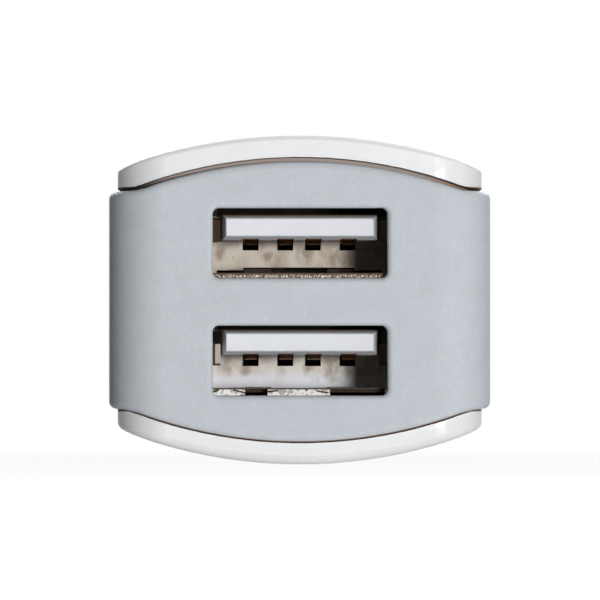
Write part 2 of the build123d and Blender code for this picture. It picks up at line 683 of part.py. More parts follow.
# Port board, across the back of the receptacle
with BuildPart() as port_board:
    with BuildSketch(across(CAN_BACK)):
        with Locations((0, PORT_CENTRE)):
            RectangleRounded(
                PORT_WIDTH + 2 * CAN_SHEET + 2 * PORT_BOARD_SIDE,
                STACK_HEIGHT + 2 * CAN_SHEET + 2 * PORT_BOARD_RIM,
                PORT_BOARD_CORNER,
            )
        for floor in (UPPER_FLOOR, LOWER_FLOOR):
            with Locations(*[(x, floor + TONGUE_CLEARANCE + CONTACT_SINK) for x in CONTACT_PLACES]):
                Rectangle(
                    CONTACT_WIDTH + 2 * HOLE_GAP,
                    CONTACT_SHEET + 2 * HOLE_GAP,
                    mode=Mode.SUBTRACT,
                )
        with Locations(*CAN_LEG_PLACES):
            with GridLocations(0, CAN_LEG_SPACING, 1, 2):
                Rectangle(CAN_SHEET + 2 * HOLE_GAP, CAN_LEG_WIDTH + 2 * HOLE_GAP, mode=Mode.SUBTRACT)
    extrude(amount=-BOARD_THICKNESS)
port_board.part.label = "port_board"
export_step(port_board.part, "parts/port_board.step")

# Ground springs: bowed strips that stand out of the barrel's slots and turn on their posts
for side, name in ((1, "right"), (-1, "left")):
    away = atan2(BOW[1] - POST[1], BOW[0] - POST[0])
    start = away + acos(EYE_RADIUS / hypot(BOW[0] - POST[0], BOW[1] - POST[1]))
    with BuildPart() as ground_spring:
        with BuildSketch():
            with BuildLine():
                eye = CenterArc(POST, EYE_RADIUS, degrees(start), EYE_WRAP)
                FilletPolyline(eye @ 0, BOW, TIP, radius=GROUND_BEND)
            trace(line_width=GROUND_THICKNESS)
            if side < 0:
                mirror(about=Plane.YZ, mode=Mode.REPLACE)
        extrude(amount=GROUND_WIDTH / 2, both=True)
    ground_spring.part.label = f"ground_spring_{name}"
    export_step(ground_spring.part, f"parts/ground_spring_{name}.step")

    with BuildPart() as ground_post:
        with Locations((side * POST[0], POST[1], BOARD_BOTTOM - POST_STUB)):
            post_top = GROUND_WIDTH / 2 + POST_END_GAP + POST_FLANGE
            Cylinder(
                POST_RADIUS,
                post_top - BOARD_BOTTOM + POST_STUB,
                align=(Align.CENTER, Align.CENTER, Align.MIN),
            )
        flange_bottoms = (BOARD_TOP, GROUND_WIDTH / 2 + POST_END_GAP)
        with Locations(*[(side * POST[0], POST[1], bottom) for bottom in flange_bottoms]):
            Cylinder(POST_FLANGE_RADIUS, POST_FLANGE, align=(Align.CENTER, Align.CENTER, Align.MIN))
    ground_post.part.label = f"ground_post_{name}"
    export_step(ground_post.part, f"parts/ground_post_{name}.step")

# Receptacle's can: a sheet box around both ports, with fingers all round, a notched hem below, and legs
# in the port board
with BuildPart() as usb_can:
    with BuildSketch(across(CAN_FRONT)):
        with Locations((0, PORT_CENTRE)):
            Rectangle(PORT_WIDTH + 2 * CAN_SHEET, STACK_HEIGHT + 2 * CAN_SHEET)
            Rectangle(PORT_WIDTH, STACK_HEIGHT, mode=Mode.SUBTRACT)
    extrude(amount=CAN_FRONT - CAN_BACK)
    with BuildSketch(across(CAN_BACK)):
        with Locations(*CAN_LEG_PLACES):
            with GridLocations(0, CAN_LEG_SPACING, 1, 2):
                Rectangle(CAN_SHEET, CAN_LEG_WIDTH)
    extrude(amount=-BOARD_THICKNESS - LEG_STUB)
    for wall, rise in ((UPPER_FLOOR + PORT_HEIGHT, -FINGER_RISE), (LOWER_FLOOR, LOWEST_FINGER_RISE)):
        add(finger_windows(wall), mode=Mode.SUBTRACT)
        add(finger_pair(wall, rise))
    for bottom in (UPPER_FLOOR + UPPER_SIDE_FINGER, LOWER_FLOOR + LOWER_SIDE_FINGER):
        add(side_windows(bottom + SIDE_FINGER_WIDTH / 2), mode=Mode.SUBTRACT)
        add(side_fingers(bottom + SIDE_FINGER_WIDTH / 2))
    with Locations((0, CAN_FRONT, LOWER_FLOOR - CAN_SHEET)):
        Box(PORT_WIDTH + 2 * CAN_SHEET, CAN_HEM, CAN_SHEET, align=(Align.CENTER, Align.MIN, Align.MAX))
    for middle, width in CAN_NOTCHES:
        with Locations((middle, CAN_FRONT, LOWER_FLOOR)):
            Box(
                width,
                CAN_HEM,
                2 * CAN_SHEET,
                align=(Align.CENTER, Align.MIN, Align.MAX),
                mode=Mode.SUBTRACT,
            )
usb_can.part.label = "usb_can"
export_step(usb_can.part, "parts/usb_can.step")

# Divider: a folded sheet between the ports, closed at the front
with BuildPart() as usb_divider:
    with BuildSketch(Plane.YZ):
        with BuildLine():
            Polyline(
                (BLOCK_FRONT, UPPER_FLOOR),
                (CAN_FRONT, UPPER_FLOOR),
                (CAN_FRONT, LOWER_FLOOR + PORT_HEIGHT),
                (BLOCK_FRONT, LOWER_FLOOR + PORT_HEIGHT),
                (BLOCK_FRONT, LOWER_FLOOR + PORT_HEIGHT + CAN_SHEET),
                (CAN_FRONT + CAN_SHEET, LOWER_FLOOR + PORT_HEIGHT + CAN_SHEET),
                (CAN_FRONT + CAN_SHEET, UPPER_FLOOR - CAN_SHEET),
                (BLOCK_FRONT, UPPER_FLOOR - CAN_SHEET),
                close=True,
            )
        make_face()
    extrude(amount=PORT_WIDTH / 2, both=True)
    for wall, rise in ((UPPER_FLOOR, FINGER_RISE), (LOWER_FLOOR + PORT_HEIGHT, -FINGER_RISE)):
        add(finger_windows(wall), mode=Mode.SUBTRACT)
        add(finger_pair(wall, rise))
usb_divider.part.label = "usb_divider"
export_step(usb_divider.part, "parts/usb_divider.step")

# Insulator: a block at the back of both ports, with a tapered tongue in each, openings above the tongues
# and under the upper wall, and a groove and a keyway for every contact
with BuildPart() as usb_insulator:
    with BuildSketch(across(CAN_BACK)):
        with Locations((0, PORT_CENTRE)):
            Rectangle(PORT_WIDTH, STACK_HEIGHT)
    extrude(amount=CAN_BACK - BLOCK_FRONT)
    for floor in (UPPER_FLOOR, LOWER_FLOOR):
        with Locations((0, BLOCK_FRONT, floor + TONGUE_CLEARANCE)):
            Box(
                TONGUE_WIDTH,
                TONGUE_LENGTH - TONGUE_LEAD,
                TONGUE_THICKNESS,
                align=(Align.CENTER, Align.MAX, Align.MIN),
            )
        with BuildSketch(across(TONGUE_TIP + TONGUE_LEAD)):
            with Locations((0, floor + TONGUE_CLEARANCE + TONGUE_THICKNESS / 2)):
                Rectangle(TONGUE_WIDTH, TONGUE_THICKNESS)
        extrude(amount=TONGUE_LEAD, taper=degrees(atan2(TONGUE_TAPER, TONGUE_LEAD)))
    fillet(usb_insulator.faces().group_by(Axis.Y)[0].edges(), TONGUE_EDGE)
    for floor, keyway in ((UPPER_FLOOR, UPPER_KEYWAY), (LOWER_FLOOR, LOWER_KEYWAY)):
        underside = floor + TONGUE_CLEARANCE
        upside = underside + TONGUE_THICKNESS
        with Locations((0, BLOCK_FRONT, upside)):
            Box(
                PORT_WIDTH - 2 * RECESS_WEB,
                CAN_BACK - BLOCK_FRONT,
                floor + PORT_HEIGHT - upside,
                align=(Align.CENTER, Align.MIN, Align.MIN),
                mode=Mode.SUBTRACT,
            )
        with Locations(*[(x, BLOCK_FRONT, underside) for x in CONTACT_PLACES]):
            Box(
                KEYWAY_WIDTH,
                CAN_BACK - BLOCK_FRONT,
                keyway,
                align=(Align.CENTER, Align.MIN, Align.MAX),
                mode=Mode.SUBTRACT,
            )
        with Locations(*[(x, TONGUE_TIP + GROOVE_END, underside) for x in CONTACT_PLACES]):
            Box(
                KEYWAY_WIDTH,
                CAN_BACK - TONGUE_TIP - GROOVE_END,
                GROOVE_DEPTH,
                align=(Align.CENTER, Align.MIN, Align.MIN),
                mode=Mode.SUBTRACT,
            )
    for width, height in RELIEFS:
        with Locations((0, BLOCK_FRONT, UPPER_FLOOR)):
            Box(
                width,
                CAN_BACK - BLOCK_FRONT,
                height,
                align=(Align.CENTER, Align.MIN, Align.MIN),
                mode=Mode.SUBTRACT,
            )
usb_insulator.part.label = "usb_insulator"
export_step(usb_insulator.part, "parts/usb_insulator.step")

# Contacts: strips from the port board along the grooves to a bump under each tongue
for floor, port in ((UPPER_FLOOR, "upper"), (LOWER_FLOOR, "lower")):
    underside = floor + TONGUE_CLEARANCE
    for number, place in enumerate(CONTACT_PLACES, start=1):
        with BuildPart() as usb_contact:
            with BuildSketch(Plane.YZ.offset(place)):
                with BuildLine():
                    FilletPolyline(
                        (PORT_BOARD_BACK + LEG_STUB, underside + CONTACT_SINK),
                        (BLOCK_FRONT - CONTACT_BEND, underside + CONTACT_SINK),
                        (TONGUE_TIP + CONTACT_BUMP_PLACE, underside - CONTACT_BUMP + CONTACT_SHEET / 2),
                        (TONGUE_TIP + CONTACT_TIP_PLACE, underside + CONTACT_TIP_RISE),
                        radius=CONTACT_BEND,
                    )
                trace(line_width=CONTACT_SHEET)
            extrude(amount=CONTACT_WIDTH / 2, both=True)
        usb_contact.part.label = f"{port}_contact_{number}"
        export_step(usb_contact.part, f"parts/{port}_contact_{number}.step")

# Converter chip: a moulded body with four bent leads on each side
with BuildPart() as converter_chip:
    with Locations((0, CHIP_PLACE, BOARD_TOP + CHIP_STANDOFF)):
        Box(CHIP_WIDTH, CHIP_LENGTH, CHIP_HEIGHT, align=(Align.CENTER, Align.CENTER, Align.MIN))
    first_lead = CHIP_PLACE - CHIP_PITCH * (CHIP_LEADS - 1) / 2
    for row in range(CHIP_LEADS):
        with BuildSketch(across(first_lead + CHIP_PITCH * row)):
            with BuildLine():
                lead_foot = BOARD_TOP + CHIP_LEAD_SHEET / 2
                lead_knee = (CHIP_WIDTH / 2 + CHIP_SPAN / 2) / 2
                Polyline(
                    (CHIP_WIDTH / 2, BOARD_TOP + CHIP_HEIGHT / 2),
                    (lead_knee - CHIP_LEAD_SHEET, BOARD_TOP + CHIP_HEIGHT / 2),
                    (lead_knee, lead_foot),
                    (CHIP_SPAN / 2, lead_foot),
                )
            trace(line_width=CHIP_LEAD_SHEET)
            mirror(about=Plane.YZ)
        extrude(amount=CHIP_LEAD_WIDTH / 2, both=True)
converter_chip.part.label = "converter_chip"
export_step(converter_chip.part, "parts/converter_chip.step")

# Rectifier diode: a moulded body on two tabs
with BuildPart() as rectifier_diode:
    with Locations((0, DIODE_PLACE, BOARD_TOP)):
        Box(
            DIODE_WIDTH + 2 * DIODE_TAB_REACH,
            DIODE_TAB_WIDTH,
            DIODE_TAB_SHEET,
            align=(Align.CENTER, Align.CENTER, Align.MIN),
        )
    with Locations((0, DIODE_PLACE, BOARD_TOP + DIODE_TAB_SHEET / 2)):
        Box(
            DIODE_WIDTH,
            DIODE_LENGTH,
            DIODE_HEIGHT - DIODE_TAB_SHEET / 2,
            align=(Align.CENTER, Align.CENTER, Align.MIN),
        )
rectifier_diode.part.label = "rectifier_diode"
export_step(rectifier_diode.part, "parts/rectifier_diode.step")

# Inductor: a ferrite drum, and the copper winding between its flanges
with BuildPart() as inductor_core:
    with Locations((0, CORE_PLACE, BOARD_TOP)):
        Cylinder(CORE_RADIUS, CORE_HEIGHT, align=(Align.CENTER, Align.CENTER, Align.MIN))
    with Locations((0, CORE_PLACE, BOARD_TOP + CORE_HEIGHT / 2)):
        Cylinder(CORE_RADIUS, CORE_HEIGHT - 2 * CORE_FLANGE, mode=Mode.SUBTRACT)
        Cylinder(CORE_POST_RADIUS, CORE_HEIGHT - 2 * CORE_FLANGE)
inductor_core.part.label = "inductor_core"
export_step(inductor_core.part, "parts/inductor_core.step")

with BuildPart() as inductor_winding:
    with Locations((0, CORE_PLACE, BOARD_TOP + CORE_HEIGHT / 2)):
        Cylinder(WINDING_RADIUS, CORE_HEIGHT - 2 * CORE_FLANGE)
        Cylinder(CORE_POST_RADIUS + WINDING_GAP, CORE_HEIGHT - 2 * CORE_FLANGE, mode=Mode.SUBTRACT)
inductor_winding.part.label = "inductor_winding"
export_step(inductor_winding.part, "parts/inductor_winding.step")

# Input capacitor: an upright sleeved can with a rolled crimp, its leads through the main board
with BuildPart() as input_capacitor:
    with Locations((0, CAPACITOR_PLACE, BOARD_TOP)):
        Cylinder(CAPACITOR_RADIUS, CAPACITOR_HEIGHT, align=(Align.CENTER, Align.CENTER, Align.MIN))
    fillet(input_capacitor.edges().filter_by(GeomType.CIRCLE), CAPACITOR_EDGE)
    with Locations((0, CAPACITOR_PLACE, BOARD_TOP + CRIMP_HEIGHT)):
        Torus(CAPACITOR_RADIUS + CRIMP_RADIUS / 2, CRIMP_RADIUS, mode=Mode.SUBTRACT)
    lead_bottom = BOARD_BOTTOM - LEAD_STUB
    with Locations(*[(side * LEAD_PITCH / 2, CAPACITOR_PLACE, lead_bottom) for side in (1, -1)]):
        Box(
            LEAD_WIDTH,
            LEAD_WIDTH,
            BOARD_THICKNESS + LEAD_STUB,
            align=(Align.CENTER, Align.CENTER, Align.MIN),
        )
input_capacitor.part.label = "input_capacitor"
export_step(input_capacitor.part, "parts/input_capacitor.step")

# Output capacitor: a can lying under the main board, its leads bent up through it
with BuildPart() as output_capacitor:
    output_axis = BOARD_BOTTOM - OUTPUT_GAP - OUTPUT_RADIUS
    with BuildSketch(across(OUTPUT_START)):
        with Locations((0, output_axis)):
            Circle(OUTPUT_RADIUS)
    extrude(amount=-OUTPUT_LENGTH)
    fillet(output_capacitor.edges().filter_by(GeomType.CIRCLE), CAPACITOR_EDGE)
    lead_place = OUTPUT_START + OUTPUT_LENGTH + LEAD_REACH
    for side in (1, -1):
        with BuildSketch(Plane.YZ.offset(side * LEAD_PITCH / 2)):
            with BuildLine():
                Polyline(
                    (OUTPUT_START + OUTPUT_LENGTH, output_axis),
                    (lead_place, output_axis),
                    (lead_place, BOARD_TOP - LEAD_SINK),
                )
            trace(line_width=LEAD_WIDTH)
        extrude(amount=LEAD_WIDTH / 2, both=True)
output_capacitor.part.label = "output_capacitor"
export_step(output_capacitor.part, "parts/output_capacitor.step")

# Input fuse, under the main board's end
with BuildPart() as input_fuse:
    with Locations((0, POST[1], BOARD_BOTTOM)):
        Box(FUSE_WIDTH, FUSE_LENGTH, FUSE_HEIGHT, align=(Align.CENTER, Align.CENTER, Align.MAX))
input_fuse.part.label = "input_fuse"
export_step(input_fuse.part, "parts/input_fuse.step")

# Small parts in a column at each side of the main board's wide front
small_rows = [WAIST_START - SMALL_PITCH / 2 - SMALL_PITCH * row for row in range(SMALL_COUNT)]
with BuildPart() as chip_resistors:
    with Locations(*[(-SMALL_COLUMN, row, BOARD_TOP) for row in small_rows]):
        Box(*RESISTOR_SIZE, align=(Align.CENTER, Align.CENTER, Align.MIN))
chip_resistors.part.label = "chip_resistors"
export_step(chip_resistors.part, "parts/chip_resistors.step")

with BuildPart() as chip_capacitors:
    with Locations(*[(SMALL_COLUMN, row, BOARD_TOP) for row in small_rows]):
        Box(*CHIP_CAPACITOR_SIZE, align=(Align.CENTER, Align.CENTER, Align.MIN))
chip_capacitors.part.label = "chip_capacitors"
export_step(chip_capacitors.part, "parts/chip_capacitors.step")
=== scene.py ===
"""Twin USB car charger plug: finishes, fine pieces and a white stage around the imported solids."""

from math import cos, pi, radians, sin, tau

import bmesh
import bpy
from bpy.props import FloatProperty, FloatVectorProperty, IntProperty, PointerProperty
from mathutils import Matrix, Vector


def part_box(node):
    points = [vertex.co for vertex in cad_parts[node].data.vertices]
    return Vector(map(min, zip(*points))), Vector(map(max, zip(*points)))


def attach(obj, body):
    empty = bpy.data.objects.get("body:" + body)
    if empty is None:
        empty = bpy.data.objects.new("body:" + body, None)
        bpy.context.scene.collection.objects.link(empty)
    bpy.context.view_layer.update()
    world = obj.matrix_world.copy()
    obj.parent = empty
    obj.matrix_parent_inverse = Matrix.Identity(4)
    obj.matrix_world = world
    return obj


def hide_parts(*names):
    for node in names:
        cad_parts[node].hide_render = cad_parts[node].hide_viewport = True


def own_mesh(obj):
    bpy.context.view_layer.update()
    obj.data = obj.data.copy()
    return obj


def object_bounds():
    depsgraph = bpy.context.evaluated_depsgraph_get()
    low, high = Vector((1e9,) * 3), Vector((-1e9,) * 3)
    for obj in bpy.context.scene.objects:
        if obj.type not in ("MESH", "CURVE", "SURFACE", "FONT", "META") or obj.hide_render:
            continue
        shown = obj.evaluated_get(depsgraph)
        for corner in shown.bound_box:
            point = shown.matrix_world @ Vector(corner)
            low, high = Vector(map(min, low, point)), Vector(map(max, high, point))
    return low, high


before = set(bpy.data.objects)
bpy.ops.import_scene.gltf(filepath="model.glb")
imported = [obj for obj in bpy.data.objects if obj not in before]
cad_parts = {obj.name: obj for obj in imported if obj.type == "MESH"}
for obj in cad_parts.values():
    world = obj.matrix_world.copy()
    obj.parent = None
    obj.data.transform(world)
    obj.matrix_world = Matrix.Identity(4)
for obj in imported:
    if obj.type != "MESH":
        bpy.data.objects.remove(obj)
CAD_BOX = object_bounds()

bl_info = {
    "name": "Twin USB car charger plug",
    "version": (1, 0, 0),
    "blender": (4, 5, 0),
    "location": "View3D > Sidebar > Charger",
    "description": "Dresses the charger's solids, adds its fine pieces and sets a white stage",
    "category": "Object",
}

MM = 0.001
ALONG = Vector((0, 1, 0))
UPRIGHT = Vector((0, 0, 1))
# Stains on the insulator's inner wall, in mm: place, height, half width and half height. The two at 3.6 mm
# are painted shade: they darken the edge of the key lamp's cast shadow on the wall.
STAINS_AND_SHADE = (
    (-5.7, 3.5, 0.4, 0.6),
    (-2.3, 3.2, 0.5, 0.5),
    (0.5, 3.5, 0.7, 0.7),
    (2.4, 3.2, 0.8, 0.8),
    (3.6, 3.2, 0.7, 1.0),
    (-5.2, -4.8, 0.6, 0.6),
    (-4.0, -4.9, 0.5, 0.5),
    (0.65, -4.8, 0.5, 0.7),
    (2.3, -4.7, 0.8, 1.2),
    (3.6, -5.0, 0.8, 1.2),
)
# Dark strokes on the hem under the lower port: place and height in mm, and slope
DARK_STROKES = ((-4.33, -6.48, -0.26), (-1.95, -6.47, 0.13), (1.6, -6.52, -0.19))


def linear(red, green, blue):
    """Scene-linear colour of an 8-bit display colour."""
    shares = [part / 255 for part in (red, green, blue)]
    return [s / 12.92 if s <= 0.04045 else ((s + 0.055) / 1.055) ** 2.4 for s in shares]


def colour_property(name, description, *display):
    """A colour that the user can change, given as it shows on the display."""
    return FloatVectorProperty(
        name=name,
        description=description,
        default=linear(*display),
        subtype="COLOR",
        min=0.0,
        max=1.0,
    )


def length_property(name, description, default):
    """A length that the user can change, in metres."""
    return FloatProperty(name=name, description=description, default=default, unit="LENGTH", precision=5)


def angle_property(name, description, degrees):
    """An angle that the user can change."""
    return FloatProperty(name=name, description=description, default=radians(degrees), subtype="ANGLE")


def level_property(name, description, default):
    """A lamp's level on a white face turned to it."""
    return FloatProperty(name=name, description=description, default=default, min=0.0)


class ChargerColours(bpy.types.PropertyGroup):
    """Colours of the finishes"""

    pearl_grey: colour_property("Pearl grey", "Front frame", 196, 201, 207)
    pearl_flake: colour_property("Pearl flake", "Bright flakes in the front frame", 232, 236, 239)
    white: colour_property("White", "Shells and nose collar", 224, 225, 227)
    # The three seam colours are a dusting darkened as painted shade: they stand in for the shade in the
    # head's seam gaps, the end colour most of all.
    upper_seam_dust_and_shade: colour_property("Upper dust", "Dust in the seam over the frame", 164, 150, 142)
    lower_seam_dust_and_shade: colour_property("Lower dust", "Dust in the seam under the frame", 140, 106, 80)
    seam_end_dust_and_shade: colour_property("End dust", "Darker dust at the seams' ends", 62, 46, 34)
    nickel: colour_property("Nickel", "Centre contact", 205, 200, 190)
    steel: colour_property("Steel", "Springs", 196, 194, 190)
    tin: colour_property("Tin", "Receptacle's can, leads and solder", 150, 140, 128)
    # Tarnish here is also painted shade: it darkens the can's front edges at the window corners, its side
    # fingers and the hem's underside.
    tarnish_and_shade: colour_property("Tarnish", "Dirt on the can's sheared edges", 74, 58, 44)
    # Painted shade: it darkens the deep slots, the gaps over the tongues, the notch under the lower port and
    # the fingers in the ports, where shade falls.
    grime_and_shade: colour_property("Grime", "Dirt deep inside the ports", 44, 32, 23)
    # Painted glints: this near-white colour stands in for light caught by the can's sheared edges.
    shear: colour_property("Shear", "Bright grains on the can's sheared edges", 234, 232, 229)
    brass: colour_property("Brass", "Spring seat and ground posts", 205, 170, 105)
    resin: colour_property("Resin", "Receptacle's insulator", 226, 228, 233)
    # The two wall colours below are painted shade: the wall deep in the ports is darker than the resin, the
    # upper port's more than the lower's.
    cream_shade: colour_property("Cream", "Insulator's wall in the upper port", 206, 197, 184)
    pale_cream_shade: colour_property("Pale cream", "Insulator's wall in the lower port", 220, 214, 206)
    # Painted light with a dusting: this pale colour lightens the lower port's left finger as if lit.
    finger_dust_and_light: colour_property("Dusty", "Film of dust on the lower port's finger", 206, 198, 187)
    # Real stains, and also painted shade on the tongues' tip borders.
    stain_and_shade: colour_property("Stain", "Smudges on the insulator's inner wall", 136, 116, 96)
    # Worn plating, and a painted highlight along the contacts' lower edges.
    plating_and_highlight: colour_property("Plating", "Rubbed crests of the USB contacts", 206, 146, 74)
    oxide: colour_property("Oxide", "Dull part of the USB contacts", 84, 50, 24)
    laminate: colour_property("Laminate", "Boards", 18, 14, 9)
    copper: colour_property("Copper", "Inductor's wire", 176, 96, 52)
    moulding: colour_property("Moulding", "Chip and diode", 28, 28, 30)
    ferrite: colour_property("Ferrite", "Inductor's core", 56, 55, 56)
    sleeve: colour_property("Sleeve", "Capacitors' sleeves", 34, 40, 66)
    band: colour_property("Band", "Pale bands on the capacitors and the diode", 190, 194, 200)
    ceramic: colour_property("Ceramic", "Fuse body", 226, 222, 210)
    resistor: colour_property("Resistor", "Chip resistors", 30, 32, 38)
    dielectric: colour_property("Dielectric", "Chip capacitors", 158, 122, 84)


class ChargerSizes(bpy.types.PropertyGroup):
    """Sizes of the fine pieces and of the finishes' patterns"""

    coil_wire: length_property("Coil wire", "Diameter of the contact coil's wire", 0.6 * MM)
    coil_active: IntProperty(name="Active turns", description="Open turns of the contact coil", default=5)
    winding_turns: IntProperty(name="Winding turns", description="Turns of wire on the inductor", default=10)
    seam_radius: length_property("Seam radius", "Arc of the shells' inner face, from the front", 33.48 * MM)
    seam_crest: length_property("Seam crest", "Height of that arc's crest over the barrel's axis", 10.18 * MM)
    upper_flat: length_property("Upper flat", "Upper shell's flat ends, over the axis", 8.06 * MM)
    lower_flat: length_property("Lower flat", "Lower shell's flat ends, under the axis", 7.91 * MM)
    end_seam: length_property("End seam", "Gap under the upper shell's flat ends", 0.2 * MM)
    flake: length_property("Flake", "Pearl flakes of the front frame", 0.1 * MM)


class ChargerStage(bpy.types.PropertyGroup):
    """Camera, lamps and floor"""

    camera_place: FloatVectorProperty(
        name="Camera place",
        description="Camera, from the barrel's shoulder",
        default=(-3.5 * MM, -620 * MM, -5.0 * MM),
        subtype="TRANSLATION",
    )
    picture_width: length_property("Picture width", "Width of the picture at the plug's face", 42.55 * MM)
    key_angle: angle_property("Key angle", "Key lamp to the right of the camera", 14.2)
    key_height: angle_property("Key height", "Key lamp above the plug", 0.0)
    key: level_property("Key", "Key lamp, in front", 0.76)
    fill: level_property("Fill", "Lamp at the right", 0.11)
    low: level_property("Low", "Lamp below, at the right", 0.28)
    top: level_property("Top", "Lamp above", 0.45)
    rear: level_property("Rear", "Each of the two lamps behind", 0.4)
    ambient: level_property("Ambient", "Light from all round", 0.016)
    ambient_colour: colour_property("Ambient colour", "Light from all round", 255, 228, 202)
    floor_radius: length_property("Floor radius", "Pale floor under the plug", 400 * MM)
    floor_tone: level_property("Floor tone", "Share of the light that the floor throws back", 0.2)
    floor_white: level_property("Floor white", "Share of plain white where the shadow lies", 0.95)
    shadow_start: length_property("Shadow start", "Where the shadow begins to fade", 30 * MM)
    shadow_end: length_property("Shadow end", "Where the shadow has faded", 120 * MM)


class Finish:
    """One Principled material whose patterns read Object coordinates."""

    def __init__(self, name, colour, roughness, metallic=0.0):
        self.material = bpy.data.materials.new(name)
        self.material.use_nodes = True
        self.nodes = self.material.node_tree.nodes
        self.links = self.material.node_tree.links
        self.shader = self.nodes["Principled BSDF"]
        self.place = self.add("ShaderNodeTexCoord").outputs["Object"]
        self.x, self.y, self.z = self.add("ShaderNodeSeparateXYZ", {"Vector": self.place}).outputs
        self.colour = (*colour, 1.0)
        self.base = self.colour
        self.rough = roughness
        self.metal = metallic
        self.store()

    def store(self):
        """Hands the present colour, roughness and metal share to the shader."""
        self.feed(self.shader.inputs["Base Color"], self.base)
        self.feed(self.shader.inputs["Roughness"], self.rough)
        self.feed(self.shader.inputs["Metallic"], self.metal)

    def add(self, kind, inputs=None, **settings):
        """A node with its settings, and its inputs given as numbers or as other nodes' sockets."""
        node = self.nodes.new(kind)
        for key, value in settings.items():
            setattr(node, key, value)
        for key, value in (inputs or {}).items():
            self.feed(node.inputs[key], value)
        return node

    def feed(self, socket, value):
        """Links the value to the socket if it is a socket itself, and otherwise stores it there."""
        if isinstance(value, bpy.types.NodeSocket):
            self.links.new(value, socket)
        else:
            socket.default_value = value

    def gloss(self, level):
        """Level of the reflection that is the same all over."""
        self.shader.inputs["Specular IOR Level"].default_value = level

    def stretched(self, *shares):
        """Object coordinates with each axis scaled."""
        return self.add("ShaderNodeMapping", {"Vector": self.place, "Scale": shares}).outputs["Vector"]

    def joined(self, x=0.0, y=0.0, z=0.0):
        """A vector of three values."""
        return self.add("ShaderNodeCombineXYZ", {"X": x, "Y": y, "Z": z}).outputs["Vector"]

    def length(self, x=0.0, y=0.0, z=0.0):
        """Length of a vector of three values."""
        inputs = {0: self.joined(x, y, z)}
        return self.add("ShaderNodeVectorMath", inputs, operation="LENGTH").outputs["Value"]

    def noise(self, grain, detail=2.0, place=None):
        """Soft noise whose lumps are about grain across."""
        inputs = {"Vector": place or self.place, "Scale": 1 / grain, "Detail": detail}
        return self.add("ShaderNodeTexNoise", inputs).outputs["Fac"]

    def cells(self, grain):
        """A random number for each cell, about grain across."""
        inputs = {"Vector": self.place, "Scale": 1 / grain}
        colour = self.add("ShaderNodeTexVoronoi", inputs).outputs["Color"]
        return self.add("ShaderNodeSeparateColor", {"Color": colour}).outputs["Red"]

    def maths(self, operation, first, second=0.0):
        """Plain arithmetic on two values."""
        return self.add("ShaderNodeMath", {0: first, 1: second}, operation=operation).outputs["Value"]

    def ease(self, value, start, end, low=0.0, high=1.0):
        """Smooth change from low to high as the value goes from start to end."""
        inputs = {"Value": value, "From Min": start, "From Max": end, "To Min": low, "To Max": high}
        node = self.add("ShaderNodeMapRange", inputs, interpolation_type="SMOOTHSTEP")
        return node.outputs["Result"]

    def far(self, value, middle, reach, soft):
        """1 where the value is further than reach from the middle, with a soft step."""
        away = self.maths("ABSOLUTE", self.maths("SUBTRACT", value, middle))
        return self.ease(away, reach - soft / 2, reach + soft / 2)

    def near(self, value, middle, reach, soft):
        """1 where the value is within reach of the middle, with a soft step."""
        away = self.maths("ABSOLUTE", self.maths("SUBTRACT", value, middle))
        return self.ease(away, reach + soft / 2, reach - soft / 2)

    def both(self, *shares):
        """Product of several shares."""
        total = shares[0]
        for share in shares[1:]:
            total = self.maths("MULTIPLY", total, share)
        return total

    def either(self, *shares):
        """Largest of several shares."""
        total = shares[0]
        for share in shares[1:]:
            total = self.maths("MAXIMUM", total, share)
        return total

    def mix(self, share, first, second):
        """Colour between two colours."""
        node = self.add("ShaderNodeMix", {0: share, 6: first, 7: second}, data_type="RGBA")
        return node.outputs[2]

    def tone(self, share):
        """The finish's own colour, lighter or darker by a share."""
        return tuple(min(1.0, part * share) for part in self.colour[:3]) + (1.0,)

    def cloud(self, grain, dark, light):
        """Uneven colour, from a darker to a lighter tone of the finish's own."""
        share = self.ease(self.noise(grain, 4.0), 0.3, 0.7)
        self.base = self.mix(share, self.tone(dark), self.tone(light))
        self.store()

    def paint(self, share, colour):
        """Another colour where the share is 1."""
        self.base = self.mix(share, self.base, (*colour, 1.0))
        self.store()

    def polish(self, share, roughness):
        """Another roughness where the share is 1."""
        self.rough = self.ease(share, 0.0, 1.0, self.rough, roughness)
        self.store()

    def plate(self, share, colour, roughness):
        """Metal where the share is 1."""
        self.paint(share, colour)
        self.polish(share, roughness)
        self.metal = self.maths("MAXIMUM", self.metal, share)
        self.store()

    def bump(self, height, depth):
        """Relief of that depth."""
        inputs = {"Height": height, "Distance": depth}
        self.feed(self.shader.inputs["Normal"], self.add("ShaderNodeBump", inputs).outputs["Normal"])


